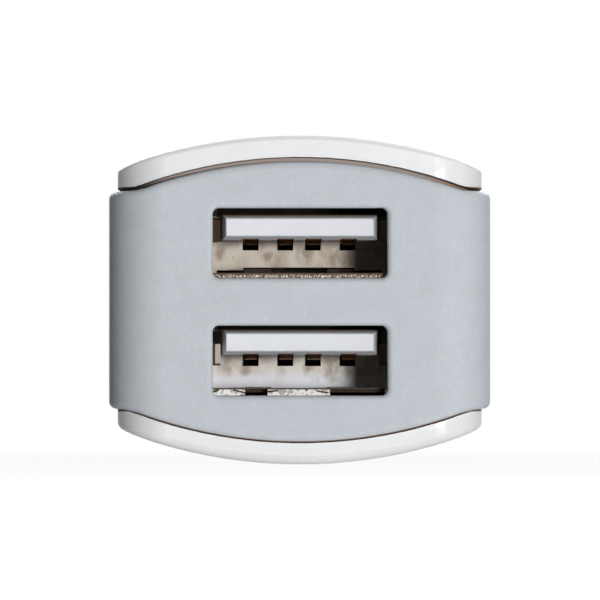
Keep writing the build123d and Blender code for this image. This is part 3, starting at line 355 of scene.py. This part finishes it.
def pearl_grey_plastic(colours, sizes):
    """Satin grey plastic with fine pearl flakes, darkened along the seams with a dusting and painted shade.
    """
    made = Finish("pearl_grey_plastic", colours.pearl_grey, 0.5)
    flake = made.cells(sizes.flake)
    made.cloud(1.3 * MM, 0.98, 1.02)
    made.paint(made.ease(flake, 0.0, 1.0, 0.0, 0.05), (0, 0, 0))
    made.paint(made.ease(flake, 0.88, 1.0, 0.0, 0.25), colours.pearl_flake)
    made.polish(flake, 0.42)
    seam = sizes.seam_radius
    fall = made.maths("SUBTRACT", seam - sizes.seam_crest, made.z)
    below = made.ease(made.length(made.x, 0.0, fall), seam - 0.22 * MM, seam - 0.1 * MM)
    arc_end = 11.6 * MM
    inner = made.near(made.x, 0.0, arc_end, 0.8 * MM)
    outer = made.far(made.x, 0.0, arc_end, 0.8 * MM)
    # Painted shade with a dusting: a darker band on the frame's edge under the lower seam.
    made.paint(made.both(below, inner, made.ease(made.z, 0.0, -1 * MM)), colours.lower_seam_dust_and_shade)
    # Painted shadow: the frame's top land at the seams' ends stands in for the shade in the gap.
    top = sizes.upper_flat - sizes.end_seam
    above = made.ease(made.z, top - 0.12 * MM, top - 0.02 * MM)
    made.paint(made.both(above, outer), colours.seam_end_dust_and_shade)
    made.gloss(0.03)
    made.bump(made.noise(0.22 * MM, 3.0), 0.004 * MM)
    return made.material


def gloss_white_plastic(colours, sizes):
    """Gloss white plastic with the slight unevenness of a moulded face, darkened inside the head's seams by a
    dusting and painted shade.
    """
    made = Finish("gloss_white_plastic", colours.white, 0.34)
    made.cloud(3.0 * MM, 0.985, 1.01)
    made.polish(made.ease(made.noise(0.8 * MM, 4.0), 0.3, 0.7), 0.46)
    made.gloss(0.4)
    height = made.maths("ABSOLUTE", made.z)
    rise = made.maths("ADD", height, sizes.seam_radius - sizes.seam_crest)
    soft = 0.06 * MM
    seam = sizes.seam_radius
    under_arc = made.ease(made.length(made.x, 0.0, rise), seam + soft, seam - soft)
    flat = made.ease(made.z, -1 * MM, 1 * MM, sizes.lower_flat, sizes.upper_flat)
    over_flat = made.maths("SUBTRACT", height, flat)
    under_flat = made.ease(over_flat, soft, -soft)
    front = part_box("upper_shell")[0].y
    shoulder = -1.5 * MM
    behind = made.ease(made.y, front + 0.3 * MM, front + 0.9 * MM)
    before = made.ease(made.y, shoulder + 0.05 * MM, shoulder - 0.1 * MM)
    # Painted shade with a dusting on the shells' lip seen through the seam gaps, darkest at the ends.
    inside = made.both(made.either(under_arc, under_flat), behind, before)
    dust_and_painted_light = made.mix(made.ease(made.z, -1 * MM, 1 * MM), (*colours.lower_seam_dust_and_shade, 1), (*colours.upper_seam_dust_and_shade, 1))
    ends = made.far(made.x, 0.0, 10.2 * MM, 5.0 * MM)
    seam_end_dust_and_shade = made.mix(made.ease(made.x, -1 * MM, 1 * MM), (*colours.seam_end_dust_and_shade, 1), (*colours.lower_seam_dust_and_shade, 1))
    dust_and_painted_light = made.mix(ends, dust_and_painted_light, seam_end_dust_and_shade)
    made.base = made.mix(inside, made.base, dust_and_painted_light)
    made.store()
    made.polish(inside, 0.8)
    made.bump(made.noise(0.9 * MM, 2.0), 0.004 * MM)
    return made.material


def rolled_metal(name, colour, roughness, streak, along):
    """Sheet or drawn metal with fine streaks along one axis."""
    made = Finish(name, colour, roughness, 1.0)
    shares = [1.0 if letter == along else 12.0 for letter in "XYZ"]
    lines = made.noise(streak * 12, 4.0, made.stretched(*shares))
    made.cloud(1.2 * MM, 0.86, 1.06)
    made.polish(made.ease(lines, 0.25, 0.75), roughness + 0.16)
    made.bump(lines, 0.006 * MM)
    return made


def turned_metal(name, colour, roughness, groove):
    """Metal turned on a lathe, with fine rings round the barrel's axis."""
    made = Finish(name, colour, roughness, 1.0)
    radius = made.length(made.x, 0.0, made.z)
    rings = made.noise(groove, 3.0, made.joined(radius, made.y))
    made.cloud(1.5 * MM, 0.88, 1.05)
    made.polish(made.ease(rings, 0.3, 0.7), roughness + 0.14)
    made.bump(rings, 0.008 * MM)
    return made


def can_front():
    """Depth of the receptacle's front edge."""
    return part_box("usb_can")[0].y


def sheared_sheet(name, colours):
    """Tinned sheet with a dull film inside the ports; also gives the share of its front edges, where
    tarnishing and painted shade go.
    """
    made = rolled_metal(name, colours.tin, 0.4, 0.05 * MM, "Y")
    edge = made.ease(made.y, can_front() + 0.2 * MM, can_front() + 0.06 * MM)
    made.metal = 0.5
    made.gloss(0.1)
    return made, edge


def tint_edges(made, edge, paler_share, colours, bare):
    """Darkens the sheet's edges with tarnishing and painted shade, and lays a paler colour where its share is
    1: painted glints on the can, stains on the divider.
    """
    made.paint(edge, colours.tarnish_and_shade)
    made.paint(paler_share, bare)
    made.polish(edge, 0.6)
    made.metal = made.ease(edge, 0.0, 1.0, made.metal, 0.0)
    made.store()


def divider_sheet(colours):
    """Tinned sheet with a row of painted glints along the fold between the ports, and painted shade on its
    fingers.
    """
    made, edge = sheared_sheet("tinned_divider", colours)
    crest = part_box("usb_divider")[1].z
    grains = made.noise(0.11 * MM, 1.0)
    fold = crest - 0.6 * MM
    row = made.near(made.z, fold, 0.09 * MM, 0.12 * MM)
    film = made.near(made.z, fold + 0.04 * MM, 0.16 * MM, 0.1 * MM)
    # Painted shade on the fingers over the fold.
    fingers = made.ease(made.z, fold + 0.26 * MM, fold + 0.3 * MM)
    made.paint(fingers, colours.grime_and_shade)
    tint_edges(made, edge, made.both(edge, film, made.ease(grains, 0.36, 0.6, 0.3, 0.7)), colours, colours.stain_and_shade)
    # Painted glints: bright grains in a row along the fold.
    made.paint(made.both(edge, row, made.ease(grains, 0.52, 0.6)), colours.shear)
    made.bump(grains, made.ease(edge, 0.0, 1.0, 0.004 * MM, 0.03 * MM))
    return made.material


def can_sheet(colours):
    """Tinned sheet with painted glints along the hem under the lower port, painted shade on its front edges,
    under the hem and on its side fingers, and painted light on the lower port's left finger.
    """
    made, edge = sheared_sheet("tinned_can", colours)
    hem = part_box("usb_can")[0].z + 0.6 * MM
    below = made.ease(made.z, hem, hem - 0.02 * MM)
    sides = made.far(made.x, 0.0, 5.5 * MM, 0.1 * MM)
    above = made.ease(made.z, hem + 0.5 * MM, hem + 0.6 * MM)
    fingers = made.both(sides, above, made.ease(made.y, can_front() + 9.5 * MM, can_front() + 9.0 * MM))
    # Painted shade with tarnishing on the front edges, under the hem and on the side fingers.
    tarnish_and_shade_share = made.either(edge, below, fingers)
    lumps = made.noise(0.8 * MM, 2.0, made.stretched(1.0, 1.0, 2.4))
    under = made.ease(made.z, hem - 0.06 * MM, hem - 0.12 * MM)
    mottle = made.ease(made.noise(0.3 * MM, 3.0), 0.6, 0.46, 0.4, 1.0)
    # Painted glints: bright grains along the hem's front edge.
    paler_share = made.both(edge, below, under, made.ease(lumps, 0.66, 0.62), mottle)
    tint_edges(made, tarnish_and_shade_share, paler_share, colours, colours.shear)
    # Dark strokes across the glints.
    dark_strokes = []
    for place, height, slope in DARK_STROKES:
        rise = made.maths("MULTIPLY", made.maths("SUBTRACT", made.x, place * MM), slope)
        line = made.near(made.maths("SUBTRACT", made.z, rise), height * MM, 0.06 * MM, 0.06 * MM)
        dark_strokes.append(made.both(line, made.near(made.x, place * MM, 0.42 * MM, 0.1 * MM)))
    made.paint(made.both(edge, made.either(*dark_strokes)), colours.grime_and_shade)
    # Painted shade on the notch's back face under the hem.
    made.paint(made.both(below, made.maths("SUBTRACT", 1.0, edge)), colours.grime_and_shade)
    # Painted shade on the right-hand side fingers.
    made.paint(made.both(fingers, made.ease(made.x, 5.4 * MM, 5.5 * MM)), colours.grime_and_shade)
    # Painted light: a pale patch lightens the lower port's left finger as if lit.
    lower_left = made.both(
        made.near(made.x, -5.7 * MM, 0.33 * MM, 0.06 * MM),
        made.near(made.z, -3.81 * MM, 0.69 * MM, 0.06 * MM),
    )
    made.paint(lower_left, colours.finger_dust_and_light)
    made.bump(lumps, made.ease(made.both(edge, below), 0.0, 1.0, 0.004 * MM, 0.05 * MM))
    return made.material


def wall_stains_and_shade(made, paler_share):
    """Share of the insulator's inner wall that smudges, specks and stains cover; the stains near the right
    edge are painted shade at the edge of the cast shadow.
    """
    smudge = made.ease(made.noise(2.0 * MM, 3.0, made.stretched(1.0, 1.0, 0.7)), 0.42, 0.68, 0.0, 0.6)
    speck = made.ease(made.noise(0.35 * MM, 2.0), 0.68, 0.76, 0.0, 0.4)
    film = made.both(made.either(smudge, speck), made.ease(paler_share, 0.0, 1.0, 1.0, 0.2))
    uneven = made.ease(made.noise(0.8 * MM, 4.0, made.stretched(1.4, 1.0, 0.8)), 0.3, 0.7, 0.0, 0.9)
    blots = []
    for place, height, half_width, half_height in STAINS_AND_SHADE:
        across = made.maths("DIVIDE", made.maths("SUBTRACT", made.x, place * MM), half_width * MM)
        along = made.maths("DIVIDE", made.maths("SUBTRACT", made.z, height * MM), half_height * MM)
        spread = made.maths("ADD", made.length(across, 0.0, along), uneven)
        blots.append(made.ease(spread, 2.0, 0.3, 0.0, 0.75))
    return made.either(film, *blots)


def insulator_resin(colours):
    """White resin: painted shade with stains on the tongues' tip borders, a creamy, smudged wall darkened as
    painted shade and left paler at the bottom as painted light, and painted shade in the deep slots and over
    the tongues.
    """
    made = Finish("insulator_resin", colours.resin, 0.45)
    made.cloud(1.0 * MM, 0.98, 1.01)
    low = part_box("usb_insulator")[0]
    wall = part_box("usb_divider")[1].y
    depth = made.ease(made.y, wall - 2.2 * MM, wall - 1.8 * MM)
    # Painted shade: the wall deep in the ports takes creamy tones darker than the resin.
    cream_shade = made.mix(made.ease(made.z, -1 * MM, 1 * MM), (*colours.pale_cream_shade, 1), (*colours.cream_shade, 1))
    # Painted light: the wall is left paler near its bottom, with fewer smudges.
    paler_share = made.ease(made.z, low.z + 1.5 * MM, low.z + 0.5 * MM)
    made.base = made.mix(made.both(depth, made.maths("SUBTRACT", 1.0, paler_share)), made.base, cream_shade)
    made.paint(made.both(depth, wall_stains_and_shade(made, paler_share)), colours.stain_and_shade)
    # Painted shade with stains on the tongues' tip borders.
    borders = []
    roofs = []
    beside = made.both(made.far(made.x, 0.0, 5.36 * MM, 0.24 * MM), 0.3)
    for tongue in (5.2 * MM, -3.0 * MM):
        over = made.ease(made.z, tongue + 0.64 * MM, tongue + 0.88 * MM)
        around = made.near(made.z, tongue, 1.0 * MM, 0.1 * MM)
        borders.append(made.both(made.either(beside, over), around))
        roofs.append(made.near(made.z, tongue + 1.4 * MM, 0.46 * MM, 0.02 * MM))
    tip = made.ease(made.y, low.y + 3.0 * MM, low.y + 1.0 * MM)
    made.paint(made.both(tip, made.either(*borders)), colours.stain_and_shade)
    # Painted shade in the deep slots and in the gaps over the tongues.
    behind = made.ease(made.y, wall + 0.1 * MM, wall + 0.5 * MM)
    made.paint(made.either(behind, made.both(depth, made.either(*roofs))), colours.grime_and_shade)
    made.gloss(0.12)
    made.bump(made.noise(0.3 * MM, 3.0), 0.004 * MM)
    return made.material


def contact_plating(colours):
    """Plated strip, dull brown apart from the crests, whose worn face carries a painted highlight along the
    lower edges.
    """
    made = rolled_metal("contact_plating", colours.oxide, 0.45, 0.04 * MM, "Y")
    crests = []
    for name in ("upper_contact_1", "lower_contact_1"):
        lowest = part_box(name)[0].z
        crests.append(made.near(made.z, lowest, 0.07 * MM, 0.06 * MM))
    made.paint(made.either(*crests), colours.plating_and_highlight)
    made.polish(made.either(*crests), 0.3)
    return made.material


def plain_mould(name, colour, roughness, grain):
    """Moulded, fired or coated stuff with a fine even grain."""
    made = Finish(name, colour, roughness)
    made.cloud(grain * 6, 0.85, 1.1)
    made.polish(made.ease(made.noise(grain, 3.0), 0.3, 0.7), roughness + 0.14)
    made.bump(made.noise(grain, 3.0), 0.01 * MM)
    return made


def board_laminate(colours):
    """Dark solder mask over faint copper tracks."""
    made = plain_mould("board_laminate", colours.laminate, 0.42, 0.2 * MM)
    tracks = made.noise(1.6 * MM, 0.0, made.stretched(1.0, 0.25, 1.0))
    made.paint(made.near(tracks, 0.5, 0.02, 0.01), made.tone(2.2)[:3])
    made.gloss(0.08)
    return made.material


def black_moulding(colours):
    """Black moulding compound with tinned leads, a pale band on the diode and a dot on the chip."""
    made = plain_mould("black_moulding", colours.moulding, 0.5, 0.1 * MM)
    chip_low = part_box("converter_chip")[0]
    diode_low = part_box("rectifier_diode")[0]
    on_diode = made.ease(made.y, diode_low.y - 0.1 * MM, diode_low.y)
    made.paint(made.both(on_diode, made.near(made.x, 1.6 * MM, 0.3 * MM, 0.04 * MM)), colours.band)
    dot_x = made.maths("SUBTRACT", made.x, -1.3 * MM)
    dot_y = made.maths("SUBTRACT", made.y, chip_low.y + 0.7 * MM)
    made.paint(made.ease(made.length(dot_x, dot_y), 0.32 * MM, 0.26 * MM), made.tone(2.5)[:3])
    chip_leads = made.far(made.x, 0.0, 1.96 * MM, 0.02 * MM)
    diode_leads = made.far(made.x, 0.0, 2.16 * MM, 0.02 * MM)
    chip_only = made.maths("SUBTRACT", 1.0, on_diode)
    leads = made.either(made.both(chip_leads, chip_only), made.both(diode_leads, on_diode))
    made.plate(leads, colours.tin, 0.3)
    return made.material


def capacitor_sleeve(colours):
    """Dark sleeve with a pale band down one side, a bare end and tinned leads."""
    made = plain_mould("capacitor_sleeve", colours.sleeve, 0.35, 0.3 * MM)
    low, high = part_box("input_capacitor")
    middle = (low + high) / 2
    upright = made.ease(made.z, -3.7 * MM, -3.5 * MM)
    beside = made.near(made.y, middle.y, 0.7 * MM, 0.05 * MM)
    made.paint(made.both(upright, beside, made.ease(made.x, -2.3 * MM, -2.4 * MM)), colours.band)
    radius = made.length(made.x, made.maths("SUBTRACT", made.y, middle.y))
    end = made.both(
        made.ease(made.z, high.z - 0.06 * MM, high.z - 0.02 * MM),
        made.ease(radius, 2.5 * MM, 2.4 * MM),
    )
    made.plate(end, colours.tin, 0.32)
    stubs = made.ease(made.z, low.z + 1.68 * MM, low.z + 1.64 * MM)
    near_board = made.ease(made.y, middle.y - 0.4 * MM, middle.y - 0.3 * MM)
    made.plate(made.both(stubs, near_board), colours.tin, 0.3)
    return made.material


def end_capped(name, colour, tin, node, across, pitch, cap):
    """Fired body with a tinned cap at each end; pitch is the spacing of a row of them."""
    made = plain_mould(name, colour, 0.4, 0.1 * MM)
    low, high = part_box(node)
    middle = (low + high) / 2
    if across:
        reach = (high.x - low.x) / 2 - cap
        ends = made.far(made.x, middle.x, reach, 0.03 * MM)
    else:
        count = round((high.y - low.y) / pitch)
        reach = (high.y - low.y - (count - 1) * pitch) / 2 - cap
        away = made.maths("PINGPONG", made.maths("SUBTRACT", made.y, middle.y), pitch / 2)
        ends = made.ease(away, reach, reach + 0.03 * MM)
    made.plate(ends, tin, 0.34)
    return made.material


def dress(nodes, material):
    """Gives the solids of these names a material of the scene's own."""
    for name in nodes:
        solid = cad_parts[name]
        solid.data.materials.clear()
        solid.data.materials.append(material)


def finished_piece(shape, name, material, body):
    """Turns a bmesh into a piece that rides on a body, with smooth faces and outward normals."""
    bmesh.ops.remove_doubles(shape, verts=shape.verts, dist=0.0005 * MM)
    bmesh.ops.recalc_face_normals(shape, faces=shape.faces)
    mesh = bpy.data.meshes.new(name)
    shape.to_mesh(mesh)
    shape.free()
    mesh.materials.append(material)
    mesh.shade_smooth()
    mesh.set_sharp_from_angle(angle=radians(40))
    piece = bpy.data.objects.new(name, mesh)
    bpy.context.scene.collection.objects.link(piece)
    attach(piece, body)
    return piece


def wound_wire(wire, start, centre, axis, stages):
    """Wire wound round an axis from a start point; each stage is its turns and its rise."""
    shape = bmesh.new()
    ring = bmesh.ops.create_circle(shape, cap_ends=False, radius=wire / 2, segments=12)["verts"]
    outward = (start - centre).normalized()
    facing = axis.cross(outward).to_track_quat("Z", "Y").to_matrix()
    bmesh.ops.rotate(shape, verts=ring, matrix=facing)
    bmesh.ops.translate(shape, verts=ring, vec=start)
    leading = ring + list({edge for vert in ring for edge in vert.link_edges})
    steps = 40
    for turns, rise in stages:
        swept = bmesh.ops.spin(
            shape,
            geom=leading,
            cent=centre,
            axis=axis,
            dvec=axis * (rise / (turns * steps)),
            angle=tau * turns,
            steps=turns * steps,
        )
        leading = swept["geom_last"]
    bmesh.ops.holes_fill(shape, edges=[edge for edge in shape.edges if edge.is_boundary], sides=0)
    return shape


class CHARGER_OT_finish_housing(bpy.types.Operator):
    """Finishes the front frame, the two shells and the nose collar"""

    bl_idname = "charger.finish_housing"
    bl_label = "Finish housing"

    def execute(self, context):
        colours = context.scene.charger_colours
        sizes = context.scene.charger_sizes
        dress(["front_frame"], pearl_grey_plastic(colours, sizes))
        dress(["upper_shell", "lower_shell", "nose_collar"], gloss_white_plastic(colours, sizes))
        return {"FINISHED"}


class CHARGER_OT_finish_receptacle(bpy.types.Operator):
    """Finishes the double USB receptacle: can, divider, insulator and contacts"""

    bl_idname = "charger.finish_receptacle"
    bl_label = "Finish receptacle"

    def execute(self, context):
        colours = context.scene.charger_colours
        dress(["usb_can"], can_sheet(colours))
        dress(["usb_divider"], divider_sheet(colours))
        dress(["usb_insulator"], insulator_resin(colours))
        names = [f"{port}_contact_{number}" for port in ("upper", "lower") for number in (1, 2, 3, 4)]
        dress(names, contact_plating(colours))
        return {"FINISHED"}


class CHARGER_OT_make_contact_coil(bpy.types.Operator):
    """Winds the coil behind the centre contact, and finishes the contact and the coil's seat"""

    bl_idname = "charger.make_contact_coil"
    bl_label = "Make contact coil"

    def execute(self, context):
        colours = context.scene.charger_colours
        sizes = context.scene.charger_sizes
        low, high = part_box("contact_spring")
        wire = sizes.coil_wire
        start = Vector((high.x - wire / 2, low.y + wire / 2, 0))
        centre = Vector((0, start.y, 0))
        open_rise = high.y - low.y - 3 * wire
        stages = ((1, wire), (sizes.coil_active, open_rise), (1, wire))
        shape = wound_wire(wire, start, centre, ALONG, stages)
        steel = rolled_metal("coil_steel", colours.steel, 0.22, 0.05 * MM, "Y")
        coil = finished_piece(shape, "contact_coil", steel.material, "housing")
        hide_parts("contact_spring")
        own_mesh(coil)
        nickel = turned_metal("nickel_plate", colours.nickel, 0.18, 0.08 * MM)
        dress(["centre_contact"], nickel.material)
        brass = rolled_metal("brass_sheet", colours.brass, 0.28, 0.05 * MM, "Z")
        dress(["spring_seat", "ground_post_right", "ground_post_left"], brass.material)
        return {"FINISHED"}


class CHARGER_OT_finish_ground_springs(bpy.types.Operator):
    """Finishes the two ground springs at the barrel's sides"""

    bl_idname = "charger.finish_ground_springs"
    bl_label = "Finish ground springs"

    def execute(self, context):
        steel = rolled_metal("spring_strip", context.scene.charger_colours.steel, 0.2, 0.04 * MM, "Y")
        dress(["ground_spring_right", "ground_spring_left"], steel.material)
        return {"FINISHED"}


class CHARGER_OT_make_winding(bpy.types.Operator):
    """Winds the inductor's wire between the flanges of its core"""

    bl_idname = "charger.make_winding"
    bl_label = "Make winding"

    def execute(self, context):
        colours = context.scene.charger_colours
        turns = context.scene.charger_sizes.winding_turns
        low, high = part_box("inductor_winding")
        wire = (high.z - low.z) / (turns + 1)
        middle = (low + high) / 2
        centre = Vector((middle.x, middle.y, low.z + wire / 2))
        start = Vector((high.x - wire / 2, centre.y, centre.z))
        shape = wound_wire(wire, start, centre, UPRIGHT, ((turns, turns * wire),))
        copper = rolled_metal("enamelled_wire", colours.copper, 0.26, 0.05 * MM, "X")
        winding = finished_piece(shape, "wire_winding", copper.material, "housing")
        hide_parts("inductor_winding")
        dress(["inductor_core"], plain_mould("ferrite", colours.ferrite, 0.55, 0.1 * MM).material)
        return {"FINISHED"}


class CHARGER_OT_finish_board_parts(bpy.types.Operator):
    """Finishes the boards and the parts on them"""

    bl_idname = "charger.finish_board_parts"
    bl_label = "Finish board parts"

    def execute(self, context):
        colours = context.scene.charger_colours
        tin = colours.tin
        dress(["main_board", "port_board"], board_laminate(colours))
        dress(["converter_chip", "rectifier_diode"], black_moulding(colours))
        dress(["input_capacitor", "output_capacitor"], capacitor_sleeve(colours))
        fuse = end_capped("fuse_ceramic", colours.ceramic, tin, "input_fuse", True, 0.0, 0.5 * MM)
        dress(["input_fuse"], fuse)
        pitch = 2.3 * MM
        resistor = end_capped(
            "resistor_body", colours.resistor, tin, "chip_resistors", False, pitch, 0.3 * MM
        )
        dress(["chip_resistors"], resistor)
        ceramic = end_capped(
            "capacitor_ceramic", colours.dielectric, tin, "chip_capacitors", False, pitch, 0.4 * MM
        )
        dress(["chip_capacitors"], ceramic)
        return {"FINISHED"}


def background_share(tree):
    """1 for rays that show the background: the camera's, and those in gloss and glass."""
    path = tree.nodes.new("ShaderNodeLightPath")
    total = path.outputs["Is Camera Ray"]
    for name in ("Is Glossy Ray", "Is Transmission Ray"):
        both = tree.nodes.new("ShaderNodeMath")
        both.operation = "MAXIMUM"
        tree.links.new(total, both.inputs[0])
        tree.links.new(path.outputs[name], both.inputs[1])
        total = both.outputs["Value"]
    return total


def area_lamp(name, angle, height, distance, size, level):
    """A soft lamp that looks at the plug, at that level on a white face turned to it."""
    data = bpy.data.lights.new(name, "AREA")
    data.shape = "DISK"
    data.size = size
    data.energy = level * (pi * distance) ** 2
    lamp = bpy.data.objects.new(name, data)
    direction = Vector((sin(angle) * cos(height), -cos(angle) * cos(height), sin(height)))
    lamp.location = direction * distance
    lamp.rotation_mode = "QUATERNION"
    lamp.rotation_quaternion = direction.to_track_quat("Z", "Y")
    lamp.visible_camera = False
    bpy.context.scene.collection.objects.link(lamp)


class CHARGER_OT_set_stage(bpy.types.Operator):
    """Makes the pale floor, the soft lamps, the white surroundings and the camera"""

    bl_idname = "charger.set_stage"
    bl_label = "Set stage"

    def execute(self, context):
        scene = context.scene
        stage = scene.charger_stage
        scene.view_settings.view_transform = "Standard"
        self.make_surroundings(scene, stage)
        self.make_floor(scene, stage)
        self.make_lamps(stage)
        self.make_camera(scene, stage)
        return {"FINISHED"}

    def make_surroundings(self, scene, stage):
        """White where the background shows, and a dim light from all round."""
        world = bpy.data.worlds.new("white_room")
        world.use_nodes = True
        scene.world = world
        tree = world.node_tree
        dim = tree.nodes["Background"]
        dim.inputs["Color"].default_value = (*stage.ambient_colour, 1.0)
        dim.inputs["Strength"].default_value = stage.ambient
        white = tree.nodes.new("ShaderNodeBackground")
        white.inputs["Color"].default_value = (1, 1, 1, 1)
        white.inputs["Strength"].default_value = 1.0
        choose = tree.nodes.new("ShaderNodeMixShader")
        tree.links.new(background_share(tree), choose.inputs[0])
        tree.links.new(dim.outputs[0], choose.inputs[1])
        tree.links.new(white.outputs[0], choose.inputs[2])
        tree.links.new(choose.outputs[0], tree.nodes["World Output"].inputs["Surface"])

    def make_lamps(self, stage):
        """A small key lamp beside the camera, and wide ones at the right, below, above and behind."""
        area_lamp("key_lamp", stage.key_angle, stage.key_height, distance=0.6, size=0.085, level=stage.key)
        wide_lamps = (
            ("right_fill", 68, 12, stage.fill),
            ("low_lamp", 35, -60, stage.low),
            ("top_lamp", 150, 75, stage.top),
        )
        for name, angle, height, level in wide_lamps:
            area_lamp(name, radians(angle), radians(height), distance=1.1, size=0.7, level=level)
        for name, angle in (("rear_right_lamp", 160), ("rear_left_lamp", 200)):
            area_lamp(name, radians(angle), radians(25), distance=1.2, size=0.5, level=stage.rear)

    def make_floor(self, scene, stage):
        """A pale floor under the plug, white to the camera apart from the plug's soft shadow."""
        shape = bmesh.new()
        bmesh.ops.create_circle(shape, cap_ends=True, radius=stage.floor_radius, segments=96)
        bmesh.ops.translate(shape, verts=shape.verts, vec=(0, 0, CAD_BOX[0].z))
        mesh = bpy.data.meshes.new("floor")
        shape.to_mesh(mesh)
        shape.free()
        floor = bpy.data.objects.new("floor", mesh)
        floor.visible_shadow = False
        scene.collection.objects.link(floor)
        material = bpy.data.materials.new("pale_floor")
        material.use_nodes = True
        tree = material.node_tree
        paint = tree.nodes["Principled BSDF"]
        paint.inputs["Base Color"].default_value = (*[stage.floor_tone] * 3, 1)
        paint.inputs["Roughness"].default_value = 0.9
        paint.inputs["Specular IOR Level"].default_value = 0.0
        glow = tree.nodes.new("ShaderNodeEmission")
        choose = tree.nodes.new("ShaderNodeMixShader")
        share = tree.nodes.new("ShaderNodeMath")
        share.operation = "MULTIPLY"
        place = tree.nodes.new("ShaderNodeTexCoord")
        reach = tree.nodes.new("ShaderNodeVectorMath")
        reach.operation = "LENGTH"
        tree.links.new(place.outputs["Object"], reach.inputs[0])
        fade = tree.nodes.new("ShaderNodeMapRange")
        fade.interpolation_type = "SMOOTHSTEP"
        fade.inputs["From Min"].default_value = stage.shadow_start
        fade.inputs["From Max"].default_value = stage.shadow_end
        fade.inputs["To Min"].default_value = stage.floor_white
        fade.inputs["To Max"].default_value = 1.0
        tree.links.new(reach.outputs["Value"], fade.inputs["Value"])
        tree.links.new(fade.outputs["Result"], share.inputs[1])
        tree.links.new(background_share(tree), share.inputs[0])
        tree.links.new(share.outputs["Value"], choose.inputs[0])
        tree.links.new(paint.outputs[0], choose.inputs[1])
        tree.links.new(glow.outputs[0], choose.inputs[2])
        tree.links.new(choose.outputs[0], tree.nodes["Material Output"].inputs["Surface"])
        mesh.materials.append(material)

    def make_camera(self, scene, stage):
        """Close to the barrel's axis, in front of the ports, looking at the middle of the face."""
        target = Vector((0, CAD_BOX[0].y, 0))
        place = Vector(stage.camera_place)
        distance = target.y - place.y
        data = bpy.data.cameras.new("camera")
        data.lens = data.sensor_width * distance / stage.picture_width
        data.clip_end = 100
        camera = bpy.data.objects.new("camera", data)
        camera.location = place
        camera.rotation_mode = "QUATERNION"
        camera.rotation_quaternion = (place - target).to_track_quat("Z", "Y")
        scene.collection.objects.link(camera)
        scene.camera = camera


class CHARGER_PT_panel(bpy.types.Panel):
    """Charger's operators and settings"""

    bl_label = "Charger"
    bl_idname = "CHARGER_PT_panel"
    bl_space_type = "VIEW_3D"
    bl_region_type = "UI"
    bl_category = "Charger"

    def draw(self, context):
        for operator in OPERATORS:
            self.layout.operator(operator.bl_idname)


GROUPS = {
    "charger_colours": ChargerColours,
    "charger_sizes": ChargerSizes,
    "charger_stage": ChargerStage,
}
OPERATORS = (
    CHARGER_OT_finish_housing,
    CHARGER_OT_finish_receptacle,
    CHARGER_OT_make_contact_coil,
    CHARGER_OT_finish_ground_springs,
    CHARGER_OT_make_winding,
    CHARGER_OT_finish_board_parts,
    CHARGER_OT_set_stage,
)


def register():
    for kind in (*GROUPS.values(), *OPERATORS, CHARGER_PT_panel):
        bpy.utils.register_class(kind)
    for name, group in GROUPS.items():
        setattr(bpy.types.Scene, name, PointerProperty(type=group))


def unregister():
    for name in GROUPS:
        delattr(bpy.types.Scene, name)
    for kind in (CHARGER_PT_panel, *OPERATORS, *GROUPS.values()):
        bpy.utils.unregister_class(kind)


def main():
    register()
    bpy.ops.charger.finish_housing()
    bpy.ops.charger.finish_receptacle()
    bpy.ops.charger.make_contact_coil()
    bpy.ops.charger.finish_ground_springs()
    bpy.ops.charger.make_winding()
    bpy.ops.charger.finish_board_parts()
    bpy.ops.charger.set_stage()


if __name__ == "__main__":
    main()
